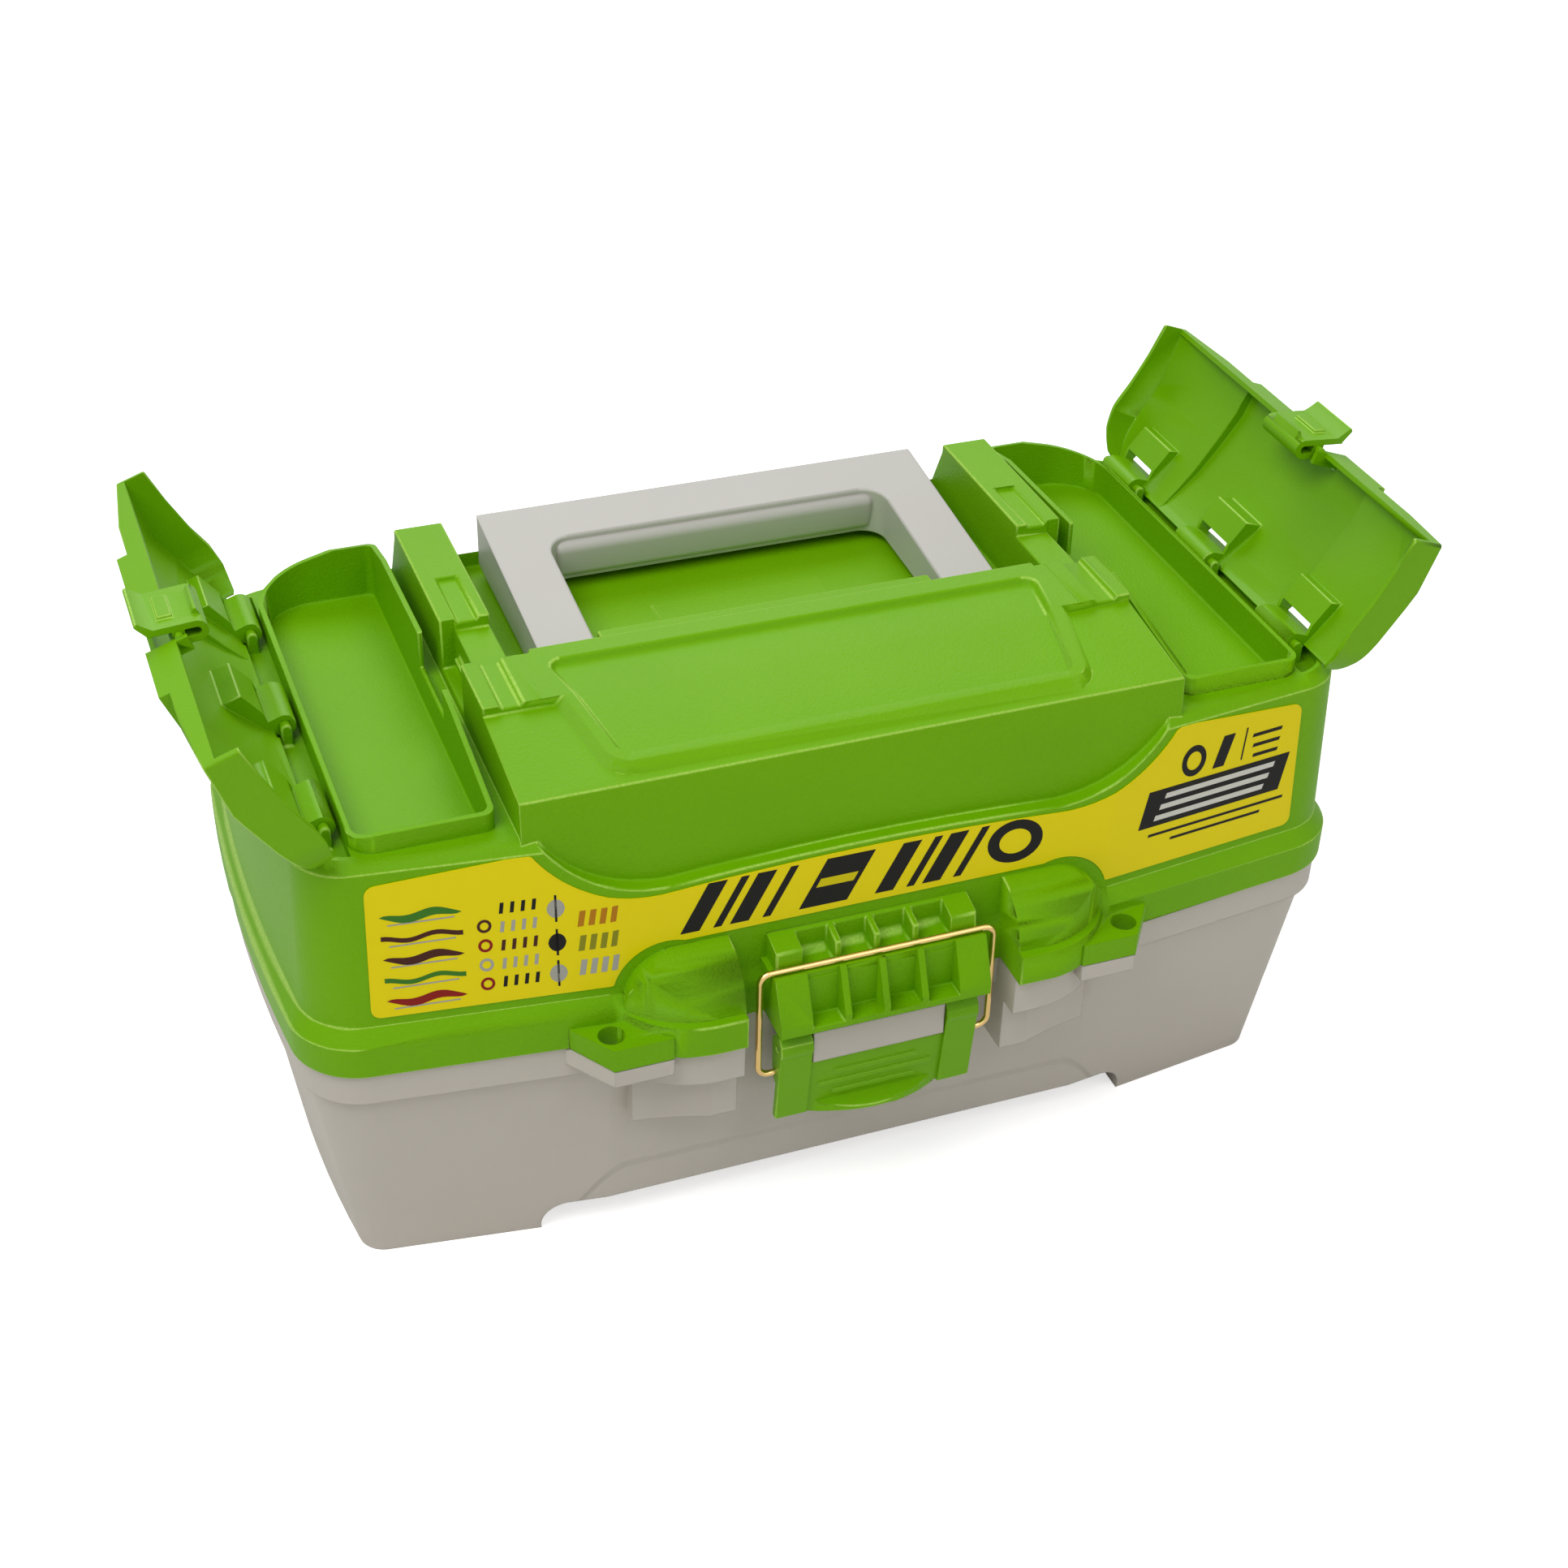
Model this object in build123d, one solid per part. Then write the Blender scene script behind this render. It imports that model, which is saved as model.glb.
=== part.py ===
"""A moulded tackle box: a tub, a hinged lid with two lidded top pockets, a fold-down
handle, a lever and wire latch, and a tray that rises with the lid. Millimetres, +Z up,
origin on the floor under the middle of the whole object."""

from build123d import *
import math
import os

# Outline of the box at the skirt of the lid
half_length = 205.6
corner_half_length = 199.0
skirt_front = -99.0
skirt_rear = 111.0
bow_centre = 6.0
sweep_start = 95.0
sweep_back = 11.8
front_corner_radius = 26.0
rear_corner_radius = 34.0

# Heights of the tub and the lid
part_line = 99.0
part_gap = 0.3
band_low = 86.0
belly_height = 12.5
skirt_top = 112.0
apron_foot = 118.0
apron_top = 180.0
ledge_z = 184.0

# How far each level stands inside the skirt
foot_inset = 16.0
tub_top_inset = 4.0
band_inset = 1.5
apron_foot_inset = 4.0
apron_top_inset = 6.1
ledge_inset = 10.0

wall = 2.4
thin_wall = 2.0
reach = 4.0

# Feet
foot_inner = 119.3
belly_half = 109.7
foot_turn = 2.5

# Deck and its raised posts
deck_half = 122.0
face_low_y = -88.5
face_top_y = -87.2
ridge_y = -86.2
ridge_z = 198.2
ridge_foot_z = 186.3
post_line = -41.7
post_width = 18.5
surface_z = 204.3
deck_z = 207.8
deck_back = 88.7
deck_slope_back = 99.0
saddle_z = 203.0
saddle_front = -12.0
saddle_back = 17.7
channel_in = 10.0
channel_half = 4.4
channel_side = 1.3
channel_depth = 1.5
channel_back = 48.0
swoop_side = 4.5
swoop_low_half = 72.0
swoop_turn_half = 99.0
swoop_turn_z = 165.5
swoop_low_z = 158.0
swoop_mid_z = 160.5

# Well for the handle
well_front = -9.0
well_floor = 181.5
well_back = 97.0
step_gap = 2.7
step_back = 13.5
step_z = 195.9
pad_half = 34.0
pad_back = 47.0
pad_rise = 0.8

# Raised panel on the deck
panel_side = 25.2
panel_taper = 0.18
panel_front = -82.9
panel_corner = 12.0
panel_rise = 3.4
panel_slope = 3.0
panel_rim = 7.3
panel_sink = 2.6
recess_rear = -18.3
recess_slope = 1.6

# Top pockets
pocket_gap = 5.7
pocket_outer = 176.4
pocket_front = -78.5
pocket_rear = 100.0
pocket_floor = 176.0
pocket_front_z = 190.9
pocket_mid_z = 200.0
pocket_mid_y = -22.0
pocket_peak_z = 203.5
pocket_peak_y = 10.0
pocket_rear_z = 197.0
pocket_outer_z = 189.5
pocket_front_radius = 9.0
pocket_rear_radius = 22.0
pocket_inner_radius = 4.0
trench_width = 13.6
trench_floor = 179.4
trench_front = -83.5
trench_rear = 96.0
trench_edge = 1.4

# Side lids, drawn closed, on the right
axis_gap = 5.6
lid_axis_z = 186.0
lid_open = 110.0
rod_radius = 2.0
rod_clearance = 0.08
knuckle_radius = 4.2
rod_half = 12.0
rod_spacing = 64.0
rod_middle = 14.0
rod_post = 3.0
lid_gap = 1.2
lid_over = 2.2
lid_front = -87.0
lid_back = 105.0
lid_front_radius = 16.0
lid_rear_radius = 26.0
lid_free_radius = 1.2
lid_trim_front = -61.0
lid_trim_rear = 82.0
lid_wall = 2.0
lid_top = 208.0
lid_raise = 3.8
lid_raise_front = -40.0
lid_raise_back = 54.0
lid_front_top = 205.4
lid_front_fall = -62.0
lid_rear_top = 204.0
lid_rear_fall = 74.0
flange_low = 201.0
slot_half = 10.0
slot_width = 4.0
slot_gap = 0.2
bracket_depth = 19.0
bracket_low = 190.3
bracket_step = 3.7
# Roof of a side lid: share of its width, drop below lid_top, share of lid_raise
lid_roof = (
    (0.0, 0.0, 1.0),
    (0.225, 0.8, 1.0),
    (0.44, 4.0, 0.9),
    (0.685, 8.3, 0.7),
    (0.83, 11.8, 0.45),
    (0.94, 14.9, 0.2),
    (1.0, 17.2, 0.0),
)
# Rim of its end walls: share of its width, drop below lid_top
lid_rim = (
    (0.98, 18.8), (0.91, 22.4), (0.78, 23.2), (0.635, 22.2), (0.467, 19.2), (0.23, 16.6), (0.0, 15.0)
)

# Side lid clips
clip_y = 2.9
clip_half = 12.6
clip_notch_half = 14.4
clip_forward = 0.6
clip_z = 199.5
clip_bar = 1.5
clip_clearance = 0.08
clip_swing = 15.0
clip_thick = 2.4
clip_leg_thick = 2.2
clip_play = 0.1
clip_loop_z = 193.5
clip_plate_top = 209.8
clip_leg_top = 202.6
clip_hub = 2.1
clip_lip_reach = 4.0
clip_lip_top = 213.4
clip_block = 1.3
clip_block_low = 200.0
clip_block_high = 205.0
clip_block_half = 7.0
clip_barb = 1.9
clip_barb_z = 192.0
clip_barb_half = 8.0
clip_cheek = 2.0
clip_cheek_low = 196.9
clip_pit_half = 15.0
clip_pit_floor = 188.0
clip_pit_depth = 7.0
clip_catch_reach = 2.2
clip_catch_low = 194.2
clip_catch_high = 196.6
clip_wall_gap = 17.5
clip_wall_low = 188.6

# Handle
handle_gap = 14.0
handle_side = 21.5
handle_axis_y = 3.5
handle_axis_z = 189.2
handle_hub = 7.2
handle_far = 93.0
handle_far_z = 206.7
handle_grip_y = 70.0
handle_low_z = 186.0
handle_edge = 1.5
handle_bend = 3.0
handle_inner_bend = 9.0
handle_skin = 3.0
handle_pin = 3.0
handle_pin_clearance = 0.08
handle_collar = 5.0
handle_pin_depth = 10.0
handle_side_gap = 0.4

# Bulges beside the latch
bulge_inner = 51.8
bulge_outer = 92.0
bulge_front = -116.7
bulge_straight = 62.0
bulge_turn_x = 80.0
bulge_turn_y = -111.5
bulge_side_y = -98.0
bulge_top = 133.0
bulge_dome_round = 12.0
bulge_dome_inset = 3.6
bulge_band_inset = 4.0
bulge_band_low = 83.0
bulge_boss_inset = 12.0
bulge_boss_low = 60.0

# Padlock ears
ear_x = 97.9
ear_y = -105.0
ear_inner = 78.0
ear_tip_x = 99.5
ear_front = -113.6
ear_outer = 112.3
ear_side_y = -95.5
ear_top = 108.4
ear_low = 92.0
ear_hole = 4.8

# Latch keeper on the lid
keeper_half = 40.0
keeper_front = -116.7
keeper_lip_front = -110.2
keeper_lip_back = -108.5
keeper_lip = 0.7
keeper_low_z = 104.0
shelf_half = 38.0
shelf_top = 130.0
rib_count = 3
rib_width = 2.6
end_block = 12.0
rib_pocket_y = -109.0
rib_pocket_drop = 2.2
shelf_pocket_y = -96.2
shelf_slope = 2.4

# Latch lever, bail and catch
bail_wire = 1.2
bail_half = 44.5
bar_y = -106.3
bar_z = 121.3
bar_gap = 0.4
bail_bend = 4.0
lever_y = -107.7
lever_z = 88.0
throw = 12.0
toggle_set = 1.2
lever_hub = 6.2
lever_half = 38.0
lever_bar = 12.2
cheek_eye = 3.0
lever_front_top = -112.2
lever_front_low = -107.6
lever_low = 54.0
lever_top = 94.0
lever_chin = 3.0
lever_plate = 3.2
plate_inset = 1.2
grip_halves = (16.0, 22.0, 16.0)
grip_low = 60.5
grip_pitch = 5.2
grip_width = 1.8
grip_rise = 0.9
window_low = 79.0
lip_half = 25.0
lip_reach = 5.5
lip_height = 4.0
lip_drop = 1.6
lip_curve = 7.0
catch_gap = 0.6
catch_front = -110.9
catch_low = 80.2
catch_top = 93.8
lever_pin = 1.5
pin_clearance = 0.06
bail_peg = 7.0

# Main hinge
hinge_y = 112.4
hinge_z = 97.0
hinge_radius = 4.4
hinge_pin = 1.6
hinge_gap = 0.5
hinge_round = 0.35
hinge_start = 95.0
hinge_knuckle = 13.0
hinge_places = 5
hinge_web = 104.0

# Tray, its links and rivets
link_run = 60.0
link_rise = 8.0
link_y = -10.0
link_z = 86.0
link_thick = 2.0
link_end = 5.0
link_width = 8.0
link_play = 0.3
side_gap = 0.6
tray_half = 178.0
tray_front = -74.0
tray_rear = 60.0
tray_low = 58.0
tray_top = 95.0
tray_wall = 1.8
tray_corner = 8.0
boss_radius = 5.0
boss_length = 2.6
divider_count = 3
divider_thick = 1.5
divider_gap = 0.25
divider_drop = 2.0
divider_rib = 1.4
rivet = 1.5
rivet_head = 3.2
rivet_head_thick = 1.2
rivet_gap = 0.2
rivet_depth = 8.0

# Label
label_thick = 0.35
label_off = 0.05
label_half = 176.0
label_low = 121.6
label_end_z = 175.0
label_margin = 2.2
label_dome = 1.8
label_top_gap = 0.5
label_shoulder = 8.0
label_lean = 1.5

post_inner = deck_half - post_width
well_half = post_inner
channel_x = deck_half - channel_in
swoop_half = deck_half - swoop_side
panel_half = deck_half - panel_side
deck_pitch = (surface_z - ridge_z) / (post_line - ridge_y)
handle_half = well_half - handle_gap
handle_inner = handle_half - handle_side
step_half = handle_inner - step_gap
pocket_inner = deck_half + pocket_gap
trench_outer = pocket_outer + trench_width
lid_axis_x = pocket_outer + axis_gap
lid_free = deck_half + lid_gap
lid_edge = lid_axis_x + lid_over
clip_x = lid_free + clip_forward
clip_front = clip_x - clip_bar - clip_play - clip_thick
clip_back = clip_x + clip_bar + clip_play + clip_leg_thick
clip_pit_x = lid_free - clip_pit_depth + clip_forward
lid_low = part_line + part_gap / 2
tub_high = part_line - part_gap / 2
hinge_end = hinge_start + hinge_places * hinge_knuckle
lid_pivot = (hinge_y - link_run, hinge_z + link_rise)
tray_pivot = (link_y - link_run, link_z + link_rise)
link_in = tray_half + boss_length + side_gap
link_out = link_in + link_thick
bail_y = lever_y + toggle_set
bail_z = lever_z - throw
seat_z = bar_z - bail_wire - bar_gap / 2
shelf_front = bar_y + bail_wire + bar_gap


def plan(inset, z):
    """The outline of the box drawn in by inset, as a face at height z."""
    front = skirt_front + inset
    corner = corner_half_length - inset
    corner_front = front + sweep_back
    rear = skirt_rear - inset
    bow = half_length - inset
    face = make_face(
        [
            Line((-sweep_start, front), (sweep_start, front)),
            Line((sweep_start, front), (corner, corner_front)),
            ThreePointArc((corner, corner_front), (bow, bow_centre), (corner, rear)),
            Line((corner, rear), (-corner, rear)),
            ThreePointArc((-corner, rear), (-bow, bow_centre), (-corner, corner_front)),
            Line((-corner, corner_front), (-sweep_start, front)),
        ]
    )
    for x, y, radius in (
        (corner, corner_front, front_corner_radius - inset),
        (-corner, corner_front, front_corner_radius - inset),
        (corner, rear, rear_corner_radius - inset),
        (-corner, rear, rear_corner_radius - inset),
    ):
        near = face.vertices().sort_by_distance((x, y, 0))[0]
        face = fillet([near], radius)
    return Pos(0, 0, z) * face


def levels(*pairs):
    """A solid through the plan at each (inset, height) pair."""
    out = None
    for low, high in zip(pairs, pairs[1:]):
        slab = loft([plan(*low), plan(*high)], ruled=True)
        out = slab if out is None else out + slab
    return out


def side_prism(points, x_low, x_high):
    """A (y, z) outline carried along X."""
    face = make_face(Polyline([(x_low, y, z) for y, z in points], close=True))
    return extrude(face, amount=x_high - x_low, dir=(1, 0, 0))


def front_prism(points, y_low, y_high):
    """An (x, z) outline carried along Y."""
    face = make_face(Polyline([(x, y_low, z) for x, z in points], close=True))
    return extrude(face, amount=y_high - y_low, dir=(0, 1, 0))


def top_prism(points, z_low, z_high):
    """An (x, y) outline carried along Z."""
    face = make_face(Polyline([(x, y, z_low) for x, y in points], close=True))
    return extrude(face, amount=z_high - z_low, dir=(0, 0, 1))


def flat_box(x_low, x_high, y_low, y_high, z_low, z_high):
    """A box between six planes."""
    size = Box(x_high - x_low, y_high - y_low, z_high - z_low)
    return Pos((x_low + x_high) / 2, (y_low + y_high) / 2, (z_low + z_high) / 2) * size


def rod_x(radius, x_low, x_high, y, z):
    """A round bar along X."""
    return Pos((x_low + x_high) / 2, y, z) * Rot(0, 90, 0) * Cylinder(radius, x_high - x_low)


def rod_y(radius, y_low, y_high, x, z):
    """A round bar along Y."""
    return Pos(x, (y_low + y_high) / 2, z) * Rot(90, 0, 0) * Cylinder(radius, y_high - y_low)


def left(shape):
    """The mirror image of a right-hand shape."""
    return mirror(shape, about=Plane.YZ)


def both(shape):
    """A right-hand shape with its mirror image."""
    return shape + left(shape)


def rounded(x_low, x_high, y_low, y_high, z_low, z_high, radii):
    """An upright block whose corners, from low x and low y round, have these radii."""
    corners = [(x_low, y_low), (x_high, y_low), (x_high, y_high), (x_low, y_high)]
    face = make_face(Polyline(corners, close=True))
    for (x, y), radius in zip(corners, radii):
        near = face.vertices().sort_by_distance((x, y, 0))[0]
        face = fillet([near], radius)
    return Pos(0, 0, z_low) * extrude(face, amount=z_high - z_low, dir=(0, 0, 1))


def bulge_block(inset, z_low, z_high):
    """The stepped-out block beside the latch, on the right."""
    front = bulge_front + inset
    back = skirt_front + ledge_inset
    side = bulge_outer - inset / 4
    face = make_face(
        [
            Line((bulge_inner, back), (bulge_inner, front)),
            Line((bulge_inner, front), (bulge_straight, front)),
            ThreePointArc(
                (bulge_straight, front), (bulge_turn_x, bulge_turn_y + inset), (side, bulge_side_y)
            ),
            Line((side, bulge_side_y), (side, back)),
            Line((side, back), (bulge_inner, back)),
        ]
    )
    return Pos(0, 0, z_low) * extrude(face, amount=z_high - z_low, dir=(0, 0, 1))


def bulge_dome():
    """The band and the rounded top of a bulge on the lid, on the right."""
    back = skirt_front + ledge_inset
    front = bulge_front + bulge_dome_inset
    apron = skirt_front + apron_foot_inset
    turn = bulge_turn_x - bulge_dome_round
    side = make_face(
        [
            Line((0, back, skirt_top), (0, front, skirt_top)),
            ThreePointArc(
                (0, front, skirt_top),
                (0, front + 0.3 * (apron - front), skirt_top + 0.68 * (bulge_top - skirt_top)),
                (0, apron, bulge_top),
            ),
            Line((0, apron, bulge_top), (0, back, bulge_top)),
            Line((0, back, bulge_top), (0, back, skirt_top)),
        ]
    )
    profile = extrude(side, amount=bulge_outer + reach, dir=(1, 0, 0))
    outer = bulge_outer - bulge_dome_inset / 4
    end = make_face(
        [
            Line((bulge_inner, 0, skirt_top), (outer, 0, skirt_top)),
            ThreePointArc(
                (outer, 0, skirt_top),
                (turn + 0.78 * (outer - turn), 0, skirt_top + 0.7 * (bulge_top - skirt_top)),
                (turn, 0, bulge_top),
            ),
            Line((turn, 0, bulge_top), (bulge_inner, 0, bulge_top)),
            Line((bulge_inner, 0, bulge_top), (bulge_inner, 0, skirt_top)),
        ]
    )
    across = Pos(0, 2 * bulge_front, 0) * extrude(end, amount=-3 * bulge_front, dir=(0, 1, 0))
    dome = bulge_block(bulge_dome_inset, skirt_top, bulge_top) & profile & across
    return dome + bulge_block(0, lid_low, skirt_top)


def ear(z_low, z_high):
    """One padlock ear with its hole, on the right."""
    points = [
        (ear_inner, ear_front),
        (ear_tip_x, ear_front),
        (ear_outer, ear_side_y),
        (ear_outer, skirt_front + tub_top_inset + wall),
        (ear_inner, skirt_front + tub_top_inset + wall),
    ]
    return top_prism(points, z_low, z_high)


def ear_bore():
    """The padlock hole through both ears, on the right."""
    middle = (ear_low + ear_top) / 2
    return Pos(ear_x, ear_y, middle) * Cylinder(ear_hole, ear_top - ear_low + reach)


def hinge_knuckles(first, radius, spare):
    """Every other knuckle of the main hinge, on the right."""
    out = None
    for index in range(first, hinge_places, 2):
        low = hinge_start + index * hinge_knuckle - spare
        high = low + hinge_knuckle - hinge_gap + 2 * spare
        one = rod_x(radius, low, high, hinge_y, hinge_z)
        out = one if out is None else out + one
    return out


def base_tub():
    """The lower half: feet, walls, rim band, bosses, ears, catch and knuckles."""
    outer = levels((foot_inset, 0), (tub_top_inset, band_low))
    outer += levels((band_inset, band_low), (band_inset, tub_high))
    inner = levels(
        (foot_inset + wall, wall),
        (tub_top_inset + wall, band_low),
        (band_inset + wall, band_low + reach),
        (band_inset + wall, tub_high + reach),
    )
    drop = 2 * half_length
    arch = make_face(
        [
            Line((-belly_half, 0, belly_height), (belly_half, 0, belly_height)),
            ThreePointArc(
                (belly_half, 0, belly_height),
                (foot_inner - foot_turn, 0, belly_height - 1.4 * foot_turn),
                (foot_inner, 0, 0),
            ),
            Line((foot_inner, 0, 0), (-foot_inner, 0, 0)),
            ThreePointArc(
                (-foot_inner, 0, 0),
                (-foot_inner + foot_turn, 0, belly_height - 1.4 * foot_turn),
                (-belly_half, 0, belly_height),
            ),
        ]
    )
    belly_air = Pos(0, -drop / 2, 0) * extrude(arch, amount=drop, dir=(0, 1, 0))
    inner -= flat_box(
        -foot_inner - wall, foot_inner + wall, -drop / 2, drop / 2, 0, belly_height + wall
    )
    body = outer + both(bulge_block(bulge_band_inset, bulge_band_low, tub_high))
    body += both(bulge_block(bulge_boss_inset, bulge_boss_low, bulge_band_low))
    body += both(ear(ear_low, tub_high))
    catch_half = lever_half - lever_bar - catch_gap
    back = skirt_front + tub_top_inset + wall
    body += flat_box(-catch_half, catch_half, catch_front, back, catch_low, catch_top)
    body -= inner
    body -= belly_air
    body -= both(ear_bore())
    body += both(hinge_knuckles(0, hinge_radius, 0.0))
    body -= both(hinge_knuckles(1, hinge_radius + hinge_round, hinge_gap))
    body -= both(rod_x(hinge_pin, hinge_start - reach, hinge_end + reach, hinge_y, hinge_z))
    body -= rod_x(lever_pin, -lever_half, lever_half, lever_y, lever_z)
    wall_in = half_length
    post = rod_x(boss_radius, link_out + side_gap, wall_in, link_y, link_z)
    post &= levels(
        (tub_top_inset + wall / 2, link_z - 3 * boss_radius), (tub_top_inset + wall / 2, tub_high)
    )
    body += both(post)
    body -= both(rod_x(rivet, link_out, link_out + rivet_depth, link_y, link_z))
    return body


def deck_outline(step):
    """The (y, z) outline of the deck block, drawn in by step."""
    low = swoop_low_z - 3 * wall
    return [
        (face_low_y + step, low),
        (face_top_y + step, ridge_foot_z),
        (ridge_y + step, ridge_z - step),
        (post_line, surface_z - step),
        (deck_back - step, surface_z - step),
        (deck_slope_back - step, ledge_z - step),
        (deck_slope_back - step, low),
    ]


def swoop_air(spare, y_high):
    """The air over the dipped front apron, widened by spare."""
    low = -half_length
    top = ledge_z + 3 * wall
    face = make_face(
        [
            ThreePointArc(
                (-swoop_low_half, 0, swoop_low_z - spare),
                (0, 0, swoop_mid_z - spare),
                (swoop_low_half, 0, swoop_low_z - spare),
            ),
            ThreePointArc(
                (swoop_low_half, 0, swoop_low_z - spare),
                (swoop_turn_half + spare / 2, 0, swoop_turn_z - spare / 2),
                (swoop_half + spare, 0, ledge_z),
            ),
            Line((swoop_half + spare, 0, ledge_z), (swoop_half + spare, 0, top)),
            Line((swoop_half + spare, 0, top), (-swoop_half - spare, 0, top)),
            Line((-swoop_half - spare, 0, top), (-swoop_half - spare, 0, ledge_z)),
            ThreePointArc(
                (-swoop_half - spare, 0, ledge_z),
                (-swoop_turn_half - spare / 2, 0, swoop_turn_z - spare / 2),
                (-swoop_low_half, 0, swoop_low_z - spare),
            ),
        ]
    )
    return Pos(0, low, 0) * extrude(face, amount=y_high - low, dir=(0, 1, 0))


def pocket_block(step, z_low):
    """One top pocket as a block with its sloping rim, on the right."""
    block = rounded(
        pocket_inner + step,
        pocket_outer - step,
        pocket_front + step,
        pocket_rear - step,
        z_low,
        pocket_peak_z + step,
        (
            pocket_inner_radius - step / 2,
            pocket_front_radius - step,
            pocket_rear_radius - step,
            pocket_inner_radius - step / 2,
        ),
    )
    return block


def pocket_rim():
    """What the walls of a pocket may fill, on the right."""
    along = side_prism(
        [
            (pocket_front - reach, pocket_front_z),
            (pocket_front, pocket_front_z),
            (pocket_mid_y, pocket_mid_z),
            (pocket_peak_y, pocket_peak_z),
            (pocket_rear - pocket_rear_radius, pocket_peak_z - thin_wall),
            (pocket_rear, pocket_rear_z),
            (pocket_rear + reach, pocket_rear_z),
            (pocket_rear + reach, trench_floor - 5 * wall),
            (pocket_front - reach, trench_floor - 5 * wall),
        ],
        pocket_inner - reach,
        pocket_outer + reach,
    )
    across = front_prism(
        [
            (pocket_inner - reach, pocket_peak_z),
            (pocket_inner + thin_wall, pocket_peak_z),
            (pocket_inner + 3 * thin_wall, pocket_mid_z),
            (pocket_outer - thin_wall, pocket_outer_z),
            (pocket_outer + reach, pocket_outer_z),
            (pocket_outer + reach, trench_floor - 5 * wall),
            (pocket_inner - reach, trench_floor - 5 * wall),
        ],
        pocket_front - reach,
        pocket_rear + reach,
    )
    return along & across


def hinge_trench(spare):
    """The trench under the hinge of a side lid, widened by spare, on the right."""
    low = trench_floor - spare
    high = ledge_z + reach
    inset = ledge_inset + trench_edge - spare
    trench = flat_box(
        pocket_outer - spare * thin_wall / wall,
        trench_outer + spare,
        trench_front - spare,
        trench_rear + spare,
        low,
        high,
    )
    return trench & levels((inset, low), (inset, high))


def post_channel(y_low, y_high):
    """The shallow channel along a post, on the right."""
    floor = deck_z - channel_depth
    above = deck_z + channel_depth
    return front_prism(
        [
            (channel_x - channel_half - channel_side, above),
            (channel_x - channel_half + channel_side, floor),
            (channel_x + channel_half - channel_side, floor),
            (channel_x + channel_half + channel_side, above),
        ],
        y_low,
        y_high,
    )


def panel_face(step):
    """The front part of the deck panel's outline, drawn in by step."""
    front = panel_front + step
    wide = panel_half - step
    narrow = panel_half + panel_taper * (front - post_line) - step
    corners = [(-wide, post_line), (-narrow, front), (narrow, front), (wide, post_line)]
    face = make_face(Polyline(corners, close=True))
    for x in (-narrow, narrow):
        near = face.vertices().sort_by_distance((x, front, 0))[0]
        face = fillet([near], panel_corner - step)
    return face


def on_deck(face, lift):
    """A flat outline laid on the sloping deck, raised by lift."""
    tilt = math.degrees(math.atan(deck_pitch))
    return Pos(0, post_line, surface_z + lift) * Rot(tilt, 0, 0) * Pos(0, -post_line, 0) * face


def panel_front_part(low_step, low_lift, high_step):
    """A block with sloping sides on the deck, up to the panel's top or just above it."""
    above = panel_rise if high_step > low_step else panel_rise + panel_sink / 2
    low_face = on_deck(panel_face(low_step), low_lift)
    high_face = on_deck(panel_face(high_step), above)
    return loft([low_face, high_face], ruled=True)


def recess_rear_part():
    """The rear part of the panel's recess, where the deck is level."""
    faces = []
    for step, z in (
        (panel_rim + recess_slope, surface_z + panel_rise - panel_sink),
        (panel_rim - recess_slope / 2, surface_z + panel_rise + panel_sink / 2),
    ):
        rear = recess_rear - step + panel_rim
        near_half = panel_half - step
        far_half = panel_half + panel_taper * (rear - post_line) - step
        corners = [(-near_half, post_line), (near_half, post_line), (far_half, rear), (-far_half, rear)]
        face = make_face(Polyline(corners, close=True))
        for x in (-far_half, far_half):
            near = face.vertices().sort_by_distance((x, rear, 0))[0]
            face = fillet([near], panel_corner - step)
        faces.append(Pos(0, 0, z) * face)
    return loft(faces, ruled=True)


def lid_rods():
    """The three hinge bars of a side lid with their posts, on the right."""
    out = None
    for index in (-1, 0, 1):
        middle = rod_middle + index * rod_spacing
        bar = rod_y(
            rod_radius, middle - rod_half - rod_post, middle + rod_half + rod_post, lid_axis_x, lid_axis_z
        )
        for side in (-1, 1):
            low = middle + side * (rod_half + rod_post / 2) - rod_post / 2
            bar += flat_box(
                lid_axis_x - rod_radius,
                lid_axis_x + rod_radius,
                low,
                low + rod_post,
                trench_floor - wall / 2,
                lid_axis_z,
            )
        out = bar if out is None else out + bar
    return out


def keeper():
    """The latch keeper on the front of the lid: end blocks, ribs, floors and the wire's seat."""
    back = skirt_front + ledge_inset
    block = side_prism(
        [
            (back, lid_low),
            (keeper_front, lid_low),
            (keeper_front, keeper_low_z),
            (keeper_lip_front, seat_z + keeper_lip - bail_wire),
            (keeper_lip_front + bail_wire / 2, seat_z + keeper_lip),
            (keeper_lip_back, seat_z + keeper_lip),
            (keeper_lip_back, seat_z),
            (shelf_front, seat_z),
            (back, seat_z),
        ],
        -keeper_half,
        keeper_half,
    )
    shelf = side_prism(
        [
            (back, seat_z - wall),
            (shelf_front, seat_z - wall),
            (shelf_front, shelf_top - shelf_slope),
            (skirt_front + apron_foot_inset, shelf_top),
            (back, shelf_top),
        ],
        -shelf_half,
        shelf_half,
    )
    span = 2 * (keeper_half - end_block)
    pitch = (span + rib_width) / (rib_count + 1)
    for index in range(rib_count + 1):
        low = -keeper_half + end_block + index * pitch
        high = low + pitch - rib_width
        block -= flat_box(
            low, high, keeper_front - reach, rib_pocket_y, lid_low + wall, seat_z - rib_pocket_drop
        )
        block -= flat_box(
            low, high, keeper_front - reach, keeper_lip_back, seat_z - rib_pocket_drop, seat_z + reach
        )
        shelf -= flat_box(low, high, shelf_front - reach, shelf_pocket_y, seat_z, shelf_top + reach)
    return block + shelf


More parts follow.
